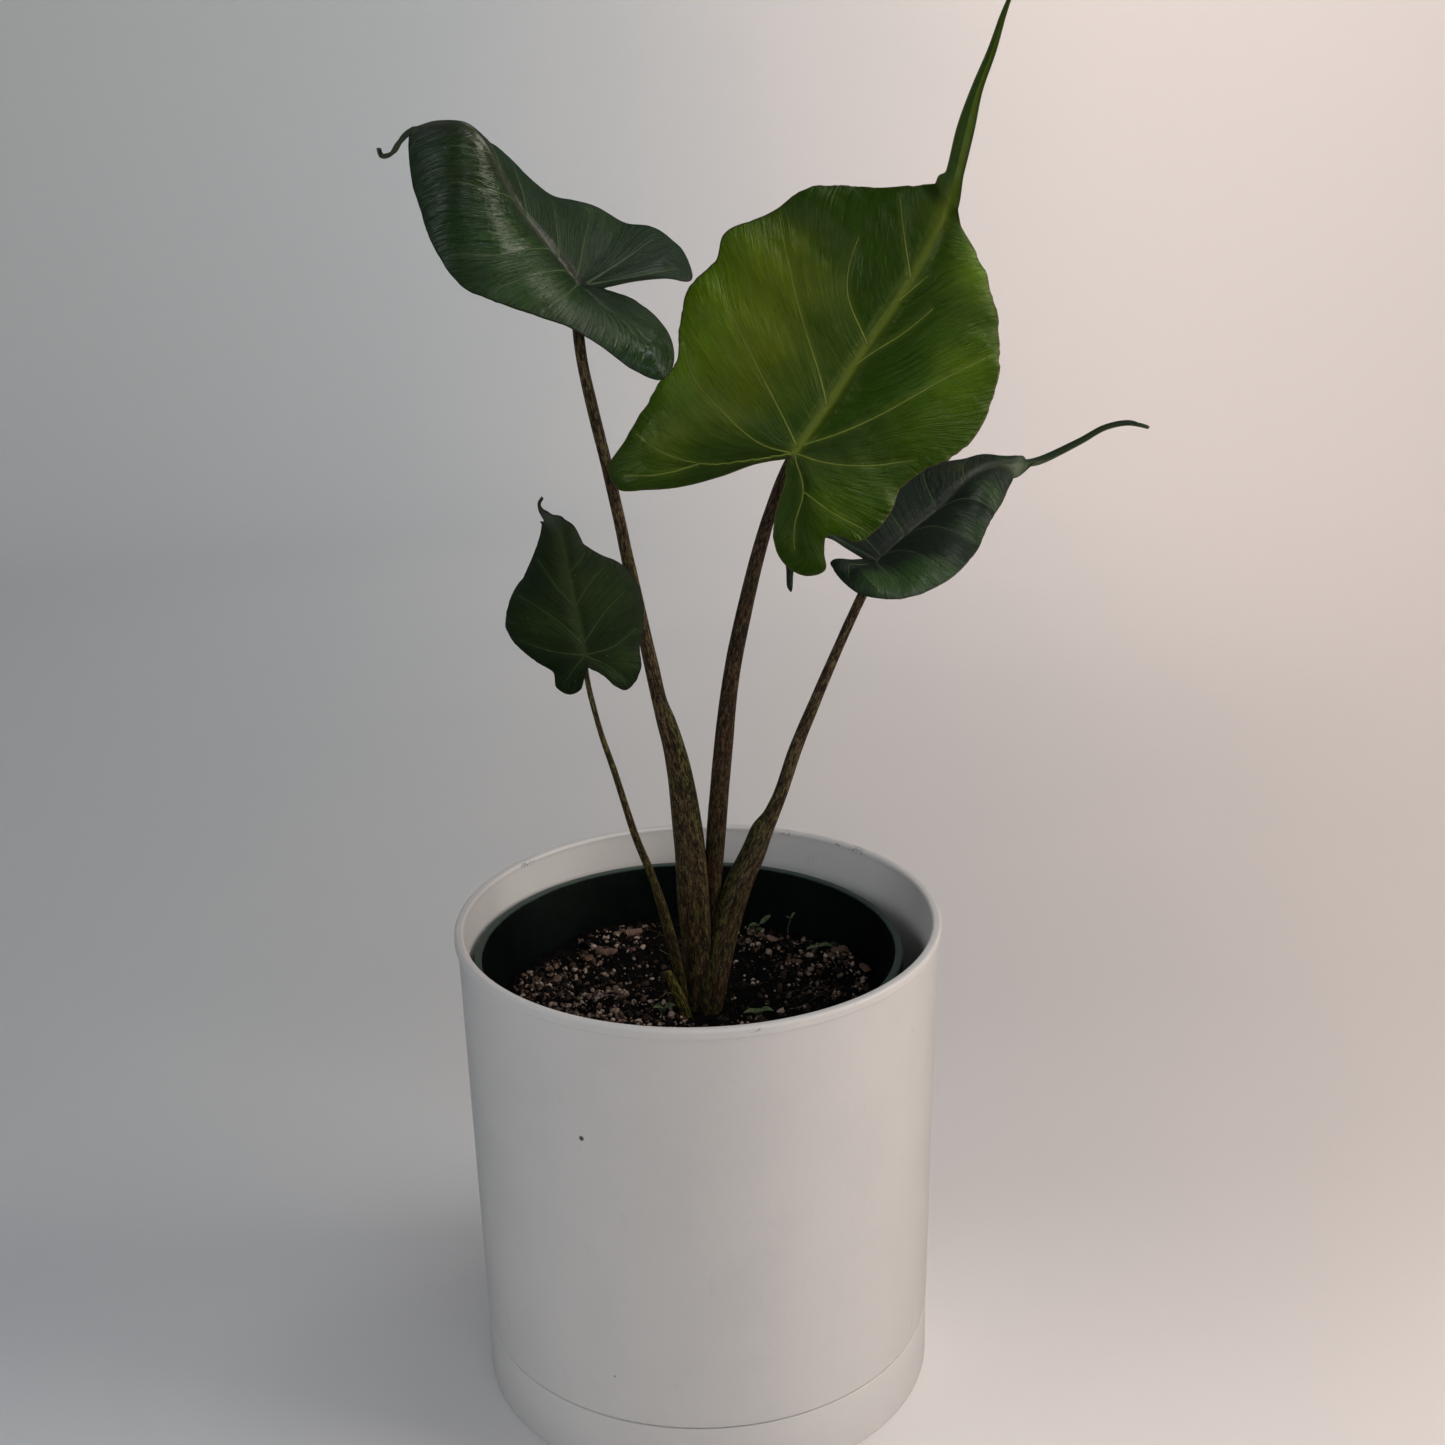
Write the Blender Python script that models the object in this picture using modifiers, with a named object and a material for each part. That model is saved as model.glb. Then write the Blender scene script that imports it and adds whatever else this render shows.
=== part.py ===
"""A potted stingray alocasia.

Four arrow-shaped leaves, each with a long tail, stand on mottled stalks in a grower's pot of peat.
The grower's pot stands inside a white planter, whose foot sits in its own flush saucer.

Blender 4.5, metres, +Z up. The origin is the middle of the saucer's underside, and -Y is the front.
Sizes below are in millimetres, and the last step of each builder turns them into metres.
"""
import math
from dataclasses import dataclass

import bmesh
import bpy
import numpy as np
from mathutils import Euler, Matrix, Vector, noise

MM = 0.001
GAP = 0.3
WELD = 0.02
EDGE = 0.5
CUTTER_REACH = 2.0
TURN_STEPS = 40
SMOOTH_ANGLE = 35.0

# Planter and saucer
PLANTER_RADIUS = 93.0
PLANTER_WALL_TOP_RADIUS = 91.8
PLANTER_WALL_FOOT_RADIUS = 89.3
PLANTER_HEIGHT = 192.0
LIP_HEIGHT = 4.0
LIP_ROUND = 1.2
LIP_STEP = 1.0
PLANTER_WALL = 3.0
SEAM_Z = 25.0
PLANTER_FLOOR_THICK = 3.0
FLOOR_ROUND = 4.0
SPIGOT_OUTER = 84.6
SPIGOT_INNER = 81.6
SAUCER_FOOT_RADIUS = 89.3
SAUCER_WALL = 3.4
SAUCER_FLOOR = 3.0
SAUCER_ROUND = 0.8
SAUCER_INNER_ROUND = 1.0
DRAIN_RADIUS = 5.0
DRAIN_RING = 42.0
DRAIN_COUNT = 6

# Grower's pot, a standard pot 165 mm over its rim, that stands on the planter's floor
NURSERY_CENTRE = (-3.9, 0.9)
NURSERY_RIM_RADIUS = 82.5
NURSERY_RIM_WALL = 3.0
NURSERY_RIM_DROP = 9.0
NURSERY_RIM_Z = 178.6
NURSERY_FLOOR_Z = SEAM_Z + PLANTER_FLOOR_THICK + GAP
NURSERY_FOOT_RADIUS = 59.6
NURSERY_KNEE = 3.0
NURSERY_WALL = 1.4
NURSERY_HOLE_RADIUS = 6.0
NURSERY_HOLE_RING = 40.0
NURSERY_HOLE_COUNT = 4

# Soil, with its granules, and the corm that the stalks rise from
SOIL_Z = 151.5
SOIL_CLEAR = 0.5
SOIL_REACH = 12.0
SOIL_RELIEF = 2.2
SOIL_LUMP = 16.0
SOIL_RINGS = 9
SOIL_DISH = 2.5
MOUND = (56.0, 34.0, 3.0, 20.0)
CHIP_COUNT = 32
CHIP_SEED = 11
CHIP_MARGIN = 5.0
CHIP_SIZE = 1.8
CHIP_SPREAD = 2.4
WOOD_CHIP = (-30.5, 59.0, 5.0)
CROWN = (0.5, -1.5)
CROWN_RADIUS = 10.0
ROOTSTOCK_DEPTH = 46.0
ROUND_HOLE_SIDES = 20

# Blades
BLADE_THICK = 0.8
ROWS = 4
INNER_STEPS = 4
TIP_STEPS = 5
SIDE_STEPS = 13
TAIL_STEPS = 7
CURVE_DENSITY = 12

# Stalks
STALK_SIDES = 10
STALK_RINGS = 20
STUB_RINGS = 7
STALK_SMOOTH_ANGLE = 50.0

COLOURS = {
    "white_plastic": ((0.80, 0.79, 0.78), 0.42),
    "green_plastic": ((0.018, 0.045, 0.032), 0.40),
    "peat": ((0.020, 0.014, 0.010), 0.95),
    "corm": ((0.10, 0.06, 0.03), 0.85),
    "stalk": ((0.13, 0.08, 0.04), 0.50),
    "dark_leaf": ((0.018, 0.060, 0.022), 0.32),
    "bright_leaf": ((0.095, 0.210, 0.012), 0.34),
    "seedling": ((0.12, 0.22, 0.05), 0.55),
}


@dataclass(frozen=True)
class Half:
    """One half of a blade, as margin points (along, across, lift) in the leaf's own frame.

    The margin runs from the sinus down the lobe's inner edge, round its tip, back up its outer edge,
    and along the side to the foot of the tail. The lobe's vein ends at axis_end. Belly is how far a
    vein from foot to margin bows up, as a share of its length.
    """
    inner: tuple
    tip: tuple
    outer: tuple
    side: tuple
    axis_end: tuple
    belly: float


@dataclass(frozen=True)
class Leaf:
    """A blade: where its stalk meets it, how it is turned, its midrib, its halves and its tail.

    Heading, pitch and roll are in degrees. The midrib runs from the hub to the foot of the tail.
    Each tail point is (along, across, lift, half width).
    """
    name: str
    finish: str
    hub: tuple
    heading: float
    pitch: float
    roll: float
    midrib: tuple
    left: Half
    right: Half
    tail: tuple


LEAVES = (
    Leaf(
        name="leaf_a", finish="dark_leaf", hub=(-36, 0, 431), heading=-166, pitch=45, roll=-46,
        midrib=((13.5, 0, 3), (32, 0, 7), (47, 0, 14), (55, 0, 18), (64, 0, 18.5), (71, 0, 11), (75, 0, 0)),
        left=Half(
            inner=((-7, -2, 5), (-15, -4, 8), (-25, -3.2, 11)),
            tip=((-31, 1.5, 14.5), (-36.7, 7, 15), (-39, 16, 15), (-37, 22, 14.5)),
            outer=((-31, 23.8, 12.5), (-15.5, 23, 8.5), (-4, 24.5, 6.5)),
            side=((15, 31, 2), (33, 34, -4), (48.5, 25, -7), (63.5, 13, -6), (71.5, 5, -3), (75, 2.5, 0)),
            axis_end=(-27, 14, 14), belly=0.15),
        right=Half(
            inner=((-7, -2, 5), (-13, -9, 9), (-23, -20, 12)),
            tip=((-32, -29, 12), (-27.5, -37, 10.5)),
            outer=((-21, -44, 6), (-14, -48, 1), (-5.5, -44.5, -4)),
            side=((5, -43.5, -7), (13.5, -39, -8), (21, -34, -9), (33, -32, -9), (45, -31, -9),
                  (56, -27, -10), (66, -16, -8), (74.5, -3, -2)),
            axis_end=(-19, -27, 10), belly=0.04),
        tail=((75, 0.5, -7, 1.9), (74, 1, -15, 1.2), (75.5, 1, -17.5, 0.8), (77.5, 1, -16, 0.6))),
    Leaf(
        name="leaf_b", finish="bright_leaf", hub=(37, -30, 377), heading=20, pitch=55, roll=48,
        midrib=((20, -1, -2), (43, -1, -4), (64, -2, -4.5), (78, -2, -4), (88, -1.5, -2.5), (98, 0, 0)),
        left=Half(
            inner=((-3, 1, 0), (-9, 9, -1), (-20, 19, -2), (-30, 30, -4)),
            tip=((-37, 41, -6), (-42, 51, -8), (-38, 58, -9)),
            outer=((-25, 58, -9), (-13, 57.8, -7.5), (-3, 58.2, -7)),
            side=((4, 55.5, -6), (14.5, 60, -5), (30.5, 65, -4), (44.5, 63, -6), (52, 64, -4),
                  (61.5, 59, -6), (70, 53.5, -8), (78, 50, -6), (84.5, 42, -7), (92, 24.5, -4),
                  (97.5, 13.5, -1), (101, 6.5, 1)),
            axis_end=(-31, 43, -4), belly=0.05),
        right=Half(
            inner=((-3, 1, 0), (-13, -3, 0), (-23, -5.5, -2), (-30, -10, -4)),
            tip=((-34, -17.5, -7), (-33, -24, -10), (-28, -28, -10)),
            outer=((-23, -25.5, -6), (-18.5, -24.5, -3), (-16, -28.5, -2), (-15, -34, -3)),
            side=((-9, -37, -5), (-0.5, -38, -6), (9.5, -37, -7), (18, -40, -8), (27, -46, -10),
                  (40, -47.5, -13), (52, -45, -14), (67, -38.5, -13), (80.5, -27, -11),
                  (86.5, -19.5, -9), (90.5, -12.5, -7), (94, -7, -4), (97.5, -4.2, -1)),
            axis_end=(-26, -14, -3), belly=0.08),
        tail=((110, 3.5, 1, 3.1), (121, 7, 2, 3.1), (133.5, 10.5, 3, 2.1), (147.5, 13, 4, 1.5),
              (160, 16, 5, 0.9), (165, 17, 5, 0.6))),
    Leaf(
        name="leaf_c", finish="dark_leaf", hub=(72, 40, 320), heading=36, pitch=30, roll=0,
        midrib=((14, 0, 0), (34, 0, -1.5), (55.5, 0, -1.5), (66, 0, -5), (74.5, 0, -11)),
        left=Half(
            inner=((-5, 1.5, 5), (-7, 6, 10.5), (-9, 12, 16.5)),
            tip=((-14.5, 20.4, 15), (-23, 23, 8), (-29, 21.4, 3), (-27.5, 25, 3), (-22, 29, 7)),
            outer=((-14, 38, 9), (4, 46, 9), (20, 47, 8)),
            side=((41, 39, 5), (55, 25, 0), (65, 16.5, -4), (73, 14, -8), (76, 7.5, -10), (79, 2, -11)),
            axis_end=(-5, 31, 18), belly=0.06),
        right=Half(
            inner=((-5, 1.5, 5), (-12, -1.5, 11), (-19, -1, 16)),
            tip=((-23, -7, 17), (-27, -18, 15.5), (-28, -27, 14)),
            outer=((-25, -35, 12), (-18, -39, 8)),
            side=((-3, -41, 3), (18, -35, -2), (39, -21, -7), (57, -10, -12), (69.5, -2, -14)),
            axis_end=(-19, -15, 16), belly=0.14),
        tail=((86, 0, -18.5, 2.6), (102, -9, -19, 1.7), (111, -15, -18, 1.4), (116, -24, -18, 1.3),
              (117, -32, -19, 0.9))),
    Leaf(
        name="leaf_d", finish="dark_leaf", hub=(-36, -40, 310), heading=129, pitch=73, roll=-33,
        midrib=((16, 0, 0.5), (31, 0, 1), (39, 0, 1), (44, 0, 0.5)),
        left=Half(
            inner=((-4.5, 0, 0), (-8, 2, -1), (-11.5, 4, -2.5)),
            tip=((-12.5, 8, -4), (-9.5, 12, -4.5)),
            outer=((-4, 12, -3.5), (1.5, 17.5, -3.5)),
            side=((9, 23, -4), (15.5, 25, -5), (22, 22.5, -4.5), (27, 19, -4.5), (31, 15, -3.5),
                  (39, 9, -2), (44.5, 6, -1), (47, 5, 0)),
            axis_end=(-7, 6.5, -2), belly=0.05),
        right=Half(
            inner=((-4.5, 0, 0), (-8.5, -4.5, -0.5), (-13, -8, -1.5)),
            tip=((-15, -11, -2.5), (-13, -15, -3.5)),
            outer=((-8.5, -18, -3), (-2.5, -19, -3)),
            side=((6, -22, -4), (14, -23.5, -4.5), (20, -23, -4.5), (28, -19, -3.5), (33, -12, -2),
                  (37, -8, -1.5), (45, -5, 0), (47, -3, 1)),
            axis_end=(-8, -9, -1.5), belly=0.05),
        tail=((49.5, 3, 0.5, 1.9), (52, 4.5, 1.5, 1.1), (54, 4.4, 3, 0.8), (55.5, 3, 4, 0.6))),
)

# Each stalk's stations from the soil up: x, y, z, half width on the left, on the right, half depth.
# A sheath swells the foot, and stops in a step on one side. The last station lies past the blade.
STALKS = {
    "petiole_c": (
        (4, -4, 151.8, 3.6, 3.9, 3.6), (6, -2, 166, 5.0, 5.2, 4.2), (9.9, 1, 184, 5.3, 5.4, 4.4),
        (15.6, 4, 202, 5.1, 5.2, 4.2), (22.8, 8, 215, 5.2, 4.0, 3.6), (26.8, 11, 223, 5.0, 3.2, 3.1),
        (29, 12.6, 227.5, 3.4, 2.9, 2.9), (31, 14, 232, 2.8, 2.8, 2.8), (38.5, 20, 251.5, 2.5, 2.5, 2.5),
        (50.3, 28, 277, 2.1, 2.1, 2.1), (57.1, 33, 291, 1.9, 1.9, 1.9), (65.2, 38, 307, 1.9, 1.9, 1.9),
        (72, 40.5, 321, 1.7, 1.7, 1.7), (74, 41, 324, 1.6, 1.6, 1.6)),
    "petiole_stub": (
        (-5, -7, 151.8, 2.1, 2.1, 2.0), (-7.6, -8, 160.9, 2.2, 2.1, 1.9),
        (-10.2, -9, 168, 1.9, 1.9, 1.5), (-12, -10, 173.6, 1.4, 1.4, 0.8)),
    "petiole_d": (
        (-5.4, -2.5, 151.8, 1.6, 1.6, 1.8), (-7, -4.5, 165, 2.0, 2.0, 2.0), (-9, -8, 179.2, 2.1, 2.1, 2.0),
        (-12.9, -13, 200.5, 2.0, 2.0, 1.9), (-16.6, -17.6, 217, 1.6, 1.6, 1.6),
        (-21.2, -22, 232.6, 1.4, 1.4, 1.4), (-27.6, -30.5, 261.5, 1.2, 1.2, 1.2),
        (-33.1, -37, 285.1, 1.15, 1.15, 1.15), (-36.1, -38.6, 304, 0.95, 0.95, 0.95),
        (-36, -40, 310, 0.9, 0.9, 0.9), (-36, -41.5, 313, 0.9, 0.9, 0.9)),
    "petiole_a": (
        (-1, -1, 151.8, 4.6, 4.6, 4.3), (-0.7, -1, 174, 5.4, 5.4, 4.6), (-1.7, -1, 195, 6.0, 6.0, 4.8),
        (-2.8, -1, 223, 5.6, 5.6, 4.4), (-4.5, -1, 242, 4.9, 4.9, 4.0), (-8, -1, 262, 3.6, 4.2, 3.4),
        (-10.7, -1, 273, 3.1, 3.4, 3.0), (-12, -1, 279, 2.8, 2.7, 2.7), (-14.9, -1, 294, 2.5, 2.5, 2.5),
        (-21.3, -0.5, 329, 2.3, 2.3, 2.3), (-27.3, 0, 362.4, 2.1, 2.1, 2.1), (-31.8, 0, 384, 2.1, 2.1, 2.1),
        (-36.5, 0.5, 415.5, 2.0, 2.0, 2.0), (-36.2, 0.5, 431, 1.9, 1.9, 1.9), (-35.5, 0, 435, 1.8, 1.8, 1.8)),
    "petiole_b": (
        (2.5, 4, 151.8, 2.7, 2.7, 2.7), (3, 5, 170.5, 3.1, 3.1, 3.1), (5.1, 4, 196.5, 3.4, 3.4, 3.3),
        (7.5, 0, 223, 3.6, 3.6, 3.4), (11, -7, 263, 3.4, 3.4, 3.2), (14.2, -12, 290.6, 3.1, 3.1, 3.0),
        (20.4, -17.5, 322.3, 2.65, 2.65, 2.6), (28.7, -23.5, 354.3, 2.2, 2.2, 2.2),
        (34.4, -27, 371, 1.8, 1.8, 1.8), (37, -30.5, 378, 1.7, 1.7, 1.7),
        (38, -33.5, 382, 1.6, 1.6, 1.6)),
}
STUB = "petiole_stub"

# A stalk cut back by those that lie in front of it or beside it at the crown
CUT_BACK = {
    "petiole_d": ("petiole_stub", "petiole_c"),
    "petiole_a": ("petiole_c", "petiole_stub", "petiole_d"),
    "petiole_b": ("petiole_c", "petiole_a"),
}

# Weed seedlings on the soil: place (x, y), height, leaf length, turn of the leaf pair in degrees
SEEDLINGS = (
    ("seedling_1", (24, 65), 7.0, 8.0, 15),
    ("seedling_2", (37, 62), 8.0, 4.0, 75),
    ("seedling_3", (47, 36), 5.0, 9.0, 10),
    ("seedling_4", (22, -9), 5.0, 10.0, 0),
    ("seedling_5", (-14.5, -9.5), 3.5, 5.5, -20),
)
SEEDLING_STEM = 0.7
SEEDLING_ROOT = 5.0
SEEDLING_LEAF_THICK = 0.6
SEEDLING_RAISE = 18.0
SEEDLING_REACH = 0.45


def clear_scene():
    """Remove every object of the open scene."""
    for item in list(bpy.data.objects):
        bpy.data.objects.remove(item, do_unlink=True)


def collection(name):
    """A new collection linked under the scene's own."""
    group = bpy.data.collections.new(name)
    bpy.context.scene.collection.children.link(group)
    return group


def material(slot):
    """The Principled material of one slot."""
    colour, roughness = COLOURS[slot]
    finish = bpy.data.materials.new(slot)
    finish.use_nodes = True
    shader = finish.node_tree.nodes["Principled BSDF"]
    shader.inputs["Base Color"].default_value = (*colour, 1.0)
    shader.inputs["Roughness"].default_value = roughness
    shader.inputs["Metallic"].default_value = 0.0
    return finish


def add_object(name, mesh, group, slot=None):
    """Put a mesh in a collection as an object, dressed with its slot's material."""
    item = bpy.data.objects.new(name, mesh)
    group.objects.link(item)
    if slot:
        mesh.materials.clear()
        mesh.materials.append(bpy.data.materials[slot])
    return item


def evaluated_mesh(item):
    """A mesh with the object's modifiers applied."""
    bpy.context.view_layer.update()
    graph = bpy.context.evaluated_depsgraph_get()
    return bpy.data.meshes.new_from_object(item.evaluated_get(graph))


def freeze(item):
    """Replace an object's mesh by its evaluated one, and drop its modifiers."""
    mesh = evaluated_mesh(item)
    item.modifiers.clear()
    item.data = mesh
    return item


def lathe(name, profile, group, slot, centre=(0.0, 0.0), steps=TURN_STEPS):
    """Turn a profile of (radius, z) once round the axis; its outer side runs from top to bottom."""
    mesh = bpy.data.meshes.new(name)
    points = [(radius * MM, 0.0, z * MM) for radius, z in profile]
    mesh.from_pydata(points, [(i, i + 1) for i in range(len(points) - 1)], [])
    item = add_object(name, mesh, group)
    screw = item.modifiers.new("turn", "SCREW")
    screw.steps = steps
    screw.render_steps = steps
    screw.use_merge_vertices = True
    screw.merge_threshold = WELD * MM
    screw.use_smooth_shade = True
    freeze(item)
    item.data.transform(Matrix.Translation((centre[0] * MM, centre[1] * MM, 0.0)))
    item.data.set_sharp_from_angle(angle=math.radians(SMOOTH_ANGLE))
    item.data.materials.append(bpy.data.materials[slot])
    return item


def arc(centre_r, centre_z, radius, start, end, steps=2):
    """Profile points on an arc, from start to end in degrees."""
    angles = np.radians(np.linspace(start, end, steps + 1))
    return [(centre_r + radius * math.cos(a), centre_z + radius * math.sin(a)) for a in angles]


def cut(item, cutter, solver="EXACT"):
    """Take a cutter away from an object by a live Boolean."""
    boolean = item.modifiers.new("cut_" + cutter.name, "BOOLEAN")
    boolean.operation = "DIFFERENCE"
    boolean.solver = solver
    boolean.object = cutter
    cutter.hide_render = True
    cutter.display_type = "WIRE"


def cylinders(name, places, radius, low, high, group):
    """One cutter mesh of upright cylinders at the given places."""
    mesh = bpy.data.meshes.new(name)
    shape = bmesh.new()
    for x, y in places:
        middle = Matrix.Translation((x * MM, y * MM, (low + high) / 2 * MM))
        bmesh.ops.create_cone(shape, cap_ends=True, segments=ROUND_HOLE_SIDES, radius1=radius * MM,
                              radius2=radius * MM, depth=(high - low) * MM, matrix=middle)
    shape.to_mesh(mesh)
    shape.free()
    return add_object(name, mesh, group)


def ring_places(count, radius, centre=(0.0, 0.0)):
    """Places spaced evenly round a circle."""
    turns = [2 * math.pi * i / count for i in range(count)]
    return [(centre[0] + radius * math.cos(t), centre[1] + radius * math.sin(t)) for t in turns]


def build_planter(parts, cutters):
    """The white planter: a lip, a slightly tapered wall, a raised floor and a foot ring."""
    lip_low = PLANTER_HEIGHT - LIP_HEIGHT
    inner_top = PLANTER_RADIUS - LIP_ROUND * 2 - 1.2
    inner_foot = PLANTER_WALL_FOOT_RADIUS - PLANTER_WALL
    floor_top = SEAM_Z + PLANTER_FLOOR_THICK
    rounds = PLANTER_HEIGHT - LIP_ROUND
    profile = [(0, floor_top), (inner_foot - FLOOR_ROUND, floor_top)]
    profile += arc(inner_foot - FLOOR_ROUND, floor_top + FLOOR_ROUND, FLOOR_ROUND, -90, 0)[1:]
    profile += [(PLANTER_WALL_TOP_RADIUS - PLANTER_WALL, lip_low - LIP_STEP), (inner_top, rounds)]
    profile += arc(inner_top + LIP_ROUND, rounds, LIP_ROUND, 180, 90)[1:]
    profile += arc(PLANTER_RADIUS - LIP_ROUND, rounds, LIP_ROUND, 90, 0)
    profile += [(PLANTER_RADIUS, lip_low + EDGE), (PLANTER_RADIUS - EDGE, lip_low)]
    profile += [(PLANTER_WALL_TOP_RADIUS, lip_low - EDGE), (PLANTER_WALL_FOOT_RADIUS, SEAM_Z + GAP + EDGE)]
    profile += [(PLANTER_WALL_FOOT_RADIUS - EDGE, SEAM_Z + GAP), (SPIGOT_OUTER, SEAM_Z + GAP)]
    profile += [(SPIGOT_OUTER, SAUCER_FLOOR + GAP), (SPIGOT_INNER, SAUCER_FLOOR + GAP)]
    profile += [(SPIGOT_INNER, SEAM_Z), (0, SEAM_Z)]
    planter = lathe("planter", profile, parts, "white_plastic")
    places = ring_places(DRAIN_COUNT, DRAIN_RING)
    low, high = SEAM_Z - CUTTER_REACH, floor_top + CUTTER_REACH
    cut(planter, cylinders("drain_holes", places, DRAIN_RADIUS, low, high, cutters))


def build_saucer(parts):
    """The saucer under the planter, flush with its wall and flat underneath."""
    top, bend = SEAM_Z, SAUCER_INNER_ROUND
    inner = PLANTER_WALL_FOOT_RADIUS - SAUCER_WALL
    profile = [(0, SAUCER_FLOOR), (inner - bend, SAUCER_FLOOR)]
    profile += arc(inner - bend, SAUCER_FLOOR + bend, bend, -90, 0, steps=1)[1:]
    profile += [(inner, top - EDGE), (inner + EDGE, top), (PLANTER_WALL_FOOT_RADIUS - EDGE, top)]
    profile += [(PLANTER_WALL_FOOT_RADIUS, top - EDGE)]
    profile += arc(SAUCER_FOOT_RADIUS - SAUCER_ROUND, SAUCER_ROUND, SAUCER_ROUND, 0, -90)
    profile += [(0, 0)]
    lathe("saucer", profile, parts, "white_plastic")


def nursery_inner(z):
    """Radius inside the grower's pot at a height, in mm."""
    share = (z - NURSERY_FLOOR_Z) / (NURSERY_RIM_Z - NURSERY_FLOOR_Z)
    foot = NURSERY_FOOT_RADIUS - NURSERY_WALL
    return foot + share * (NURSERY_RIM_RADIUS - NURSERY_RIM_WALL - foot)


def build_nursery_pot(parts, cutters):
    """The dark green grower's pot: a thin tapered wall, a stepped rim band and a holed floor."""
    floor, top = NURSERY_FLOOR_Z, NURSERY_RIM_Z
    knee, band = floor + NURSERY_KNEE, top - NURSERY_RIM_DROP
    profile = [(0, floor + NURSERY_WALL), (nursery_inner(floor) - NURSERY_KNEE, floor + NURSERY_WALL)]
    profile += [(nursery_inner(knee), knee + NURSERY_WALL), (nursery_inner(top), top)]
    profile += [(NURSERY_RIM_RADIUS - EDGE, top), (NURSERY_RIM_RADIUS, top - EDGE)]
    profile += [(NURSERY_RIM_RADIUS - EDGE, band), (nursery_inner(band) + NURSERY_WALL, band - EDGE)]
    profile += [(nursery_inner(knee) + NURSERY_WALL, knee), (nursery_inner(floor) - 1, floor), (0, floor)]
    pot = lathe("nursery_pot", profile, parts, "green_plastic", NURSERY_CENTRE)
    places = ring_places(NURSERY_HOLE_COUNT, NURSERY_HOLE_RING, NURSERY_CENTRE)
    low, high = floor - CUTTER_REACH, floor + NURSERY_WALL + CUTTER_REACH
    cut(pot, cylinders("pot_holes", places, NURSERY_HOLE_RADIUS, low, high, cutters))


def soil_height(x, y):
    """Height of the soil's surface at a place, in mm: a shallow dish, a mound, two scales of noise."""
    broad = noise.noise(Vector((x / SOIL_LUMP / 2, y / SOIL_LUMP / 2, 3.1)))
    fine = noise.noise(Vector((x / SOIL_LUMP * 2, y / SOIL_LUMP * 2, 7.7)))
    mound_x, mound_y, mound_height, mound_reach = MOUND
    far = math.hypot(x - mound_x, y - mound_y) / mound_reach
    mound = mound_height * math.exp(-2 * far ** 2)
    crown = math.hypot(x - CROWN[0], y - CROWN[1])
    dish = SOIL_DISH * (crown / NURSERY_RIM_RADIUS) ** 2
    calm = min(1.0, max(0.0, crown / CROWN_RADIUS - 1))
    return SOIL_Z + calm * (SOIL_RELIEF * (broad + fine / 2) + mound + dish)


def build_soil(parts, cutters):
    """The peat: a tapered plug whose top has relief and chips, with plain holes for what grows in it."""
    low = NURSERY_FLOOR_Z + NURSERY_WALL + GAP
    knee = low + NURSERY_KNEE
    edge = nursery_inner(SOIL_Z) - SOIL_CLEAR
    profile = [(edge * i / SOIL_RINGS, SOIL_Z) for i in range(SOIL_RINGS + 1)]
    profile += [(nursery_inner(knee) - SOIL_CLEAR, knee), (nursery_inner(low) - NURSERY_KNEE, low), (0, low)]
    soil = lathe("soil", profile, parts, "peat", NURSERY_CENTRE)
    for vertex in soil.data.vertices:
        x, y, z = (value / MM for value in vertex.co)
        from_axis = math.hypot(x - NURSERY_CENTRE[0], y - NURSERY_CENTRE[1])
        if z > SOIL_Z - 1 and from_axis < edge - 1:
            vertex.co.z = soil_height(x, y) * MM
    join_collection(soil, chip_group(edge - CHIP_MARGIN))
    top = SOIL_Z + SOIL_REACH
    bottom = SOIL_Z - ROOTSTOCK_DEPTH - CUTTER_REACH
    cut(soil, cylinders("rootstock_hole", [CROWN], CROWN_RADIUS + GAP, bottom, top, cutters))
    places = [place for _, place, *_ in SEEDLINGS]
    bottom = SOIL_Z - SEEDLING_ROOT - CUTTER_REACH
    cut(soil, cylinders("seedling_holes", places, SEEDLING_STEM + SOIL_CLEAR, bottom, top, cutters))


def chip_group(reach):
    """Bark chips and granules strewn over the soil, sunk by half, with one larger wood chip."""
    group = collection("chips")
    draw = np.random.default_rng(CHIP_SEED)
    places = [WOOD_CHIP]
    while len(places) < CHIP_COUNT:
        radius, turn = reach * math.sqrt(draw.random()), 2 * math.pi * draw.random()
        x, y = radius * math.cos(turn) + NURSERY_CENTRE[0], radius * math.sin(turn) + NURSERY_CENTRE[1]
        size = CHIP_SIZE + CHIP_SPREAD * draw.random() ** 2
        clear_of_crown = math.hypot(x - CROWN[0], y - CROWN[1]) > CROWN_RADIUS + size + 3
        clear_of_weeds = all(math.hypot(x - w[0], y - w[1]) > size + 4 for _, w, *_ in SEEDLINGS)
        clear_of_chips = all(math.hypot(x - px, y - py) > size + other + EDGE for px, py, other in places)
        if clear_of_crown and clear_of_weeds and clear_of_chips:
            places.append((x, y, size))
    for index, (x, y, size) in enumerate(places):
        mesh = bpy.data.meshes.new(f"chip_{index}")
        shape = bmesh.new()
        bmesh.ops.create_icosphere(shape, subdivisions=1, radius=size * MM)
        stretch = Matrix.Diagonal((1.0 + 0.5 * draw.random(), 0.7 + 0.3 * draw.random(), 0.75, 1.0))
        turn = Euler(tuple(draw.random(3) * 6.0)).to_matrix().to_4x4()
        place = Matrix.Translation((x * MM, y * MM, (soil_height(x, y) + size * 0.1) * MM))
        bmesh.ops.transform(shape, matrix=place @ turn @ stretch, verts=shape.verts)
        shape.to_mesh(mesh)
        shape.free()
        add_object(f"chip_{index}", mesh, group)
    return group


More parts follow.
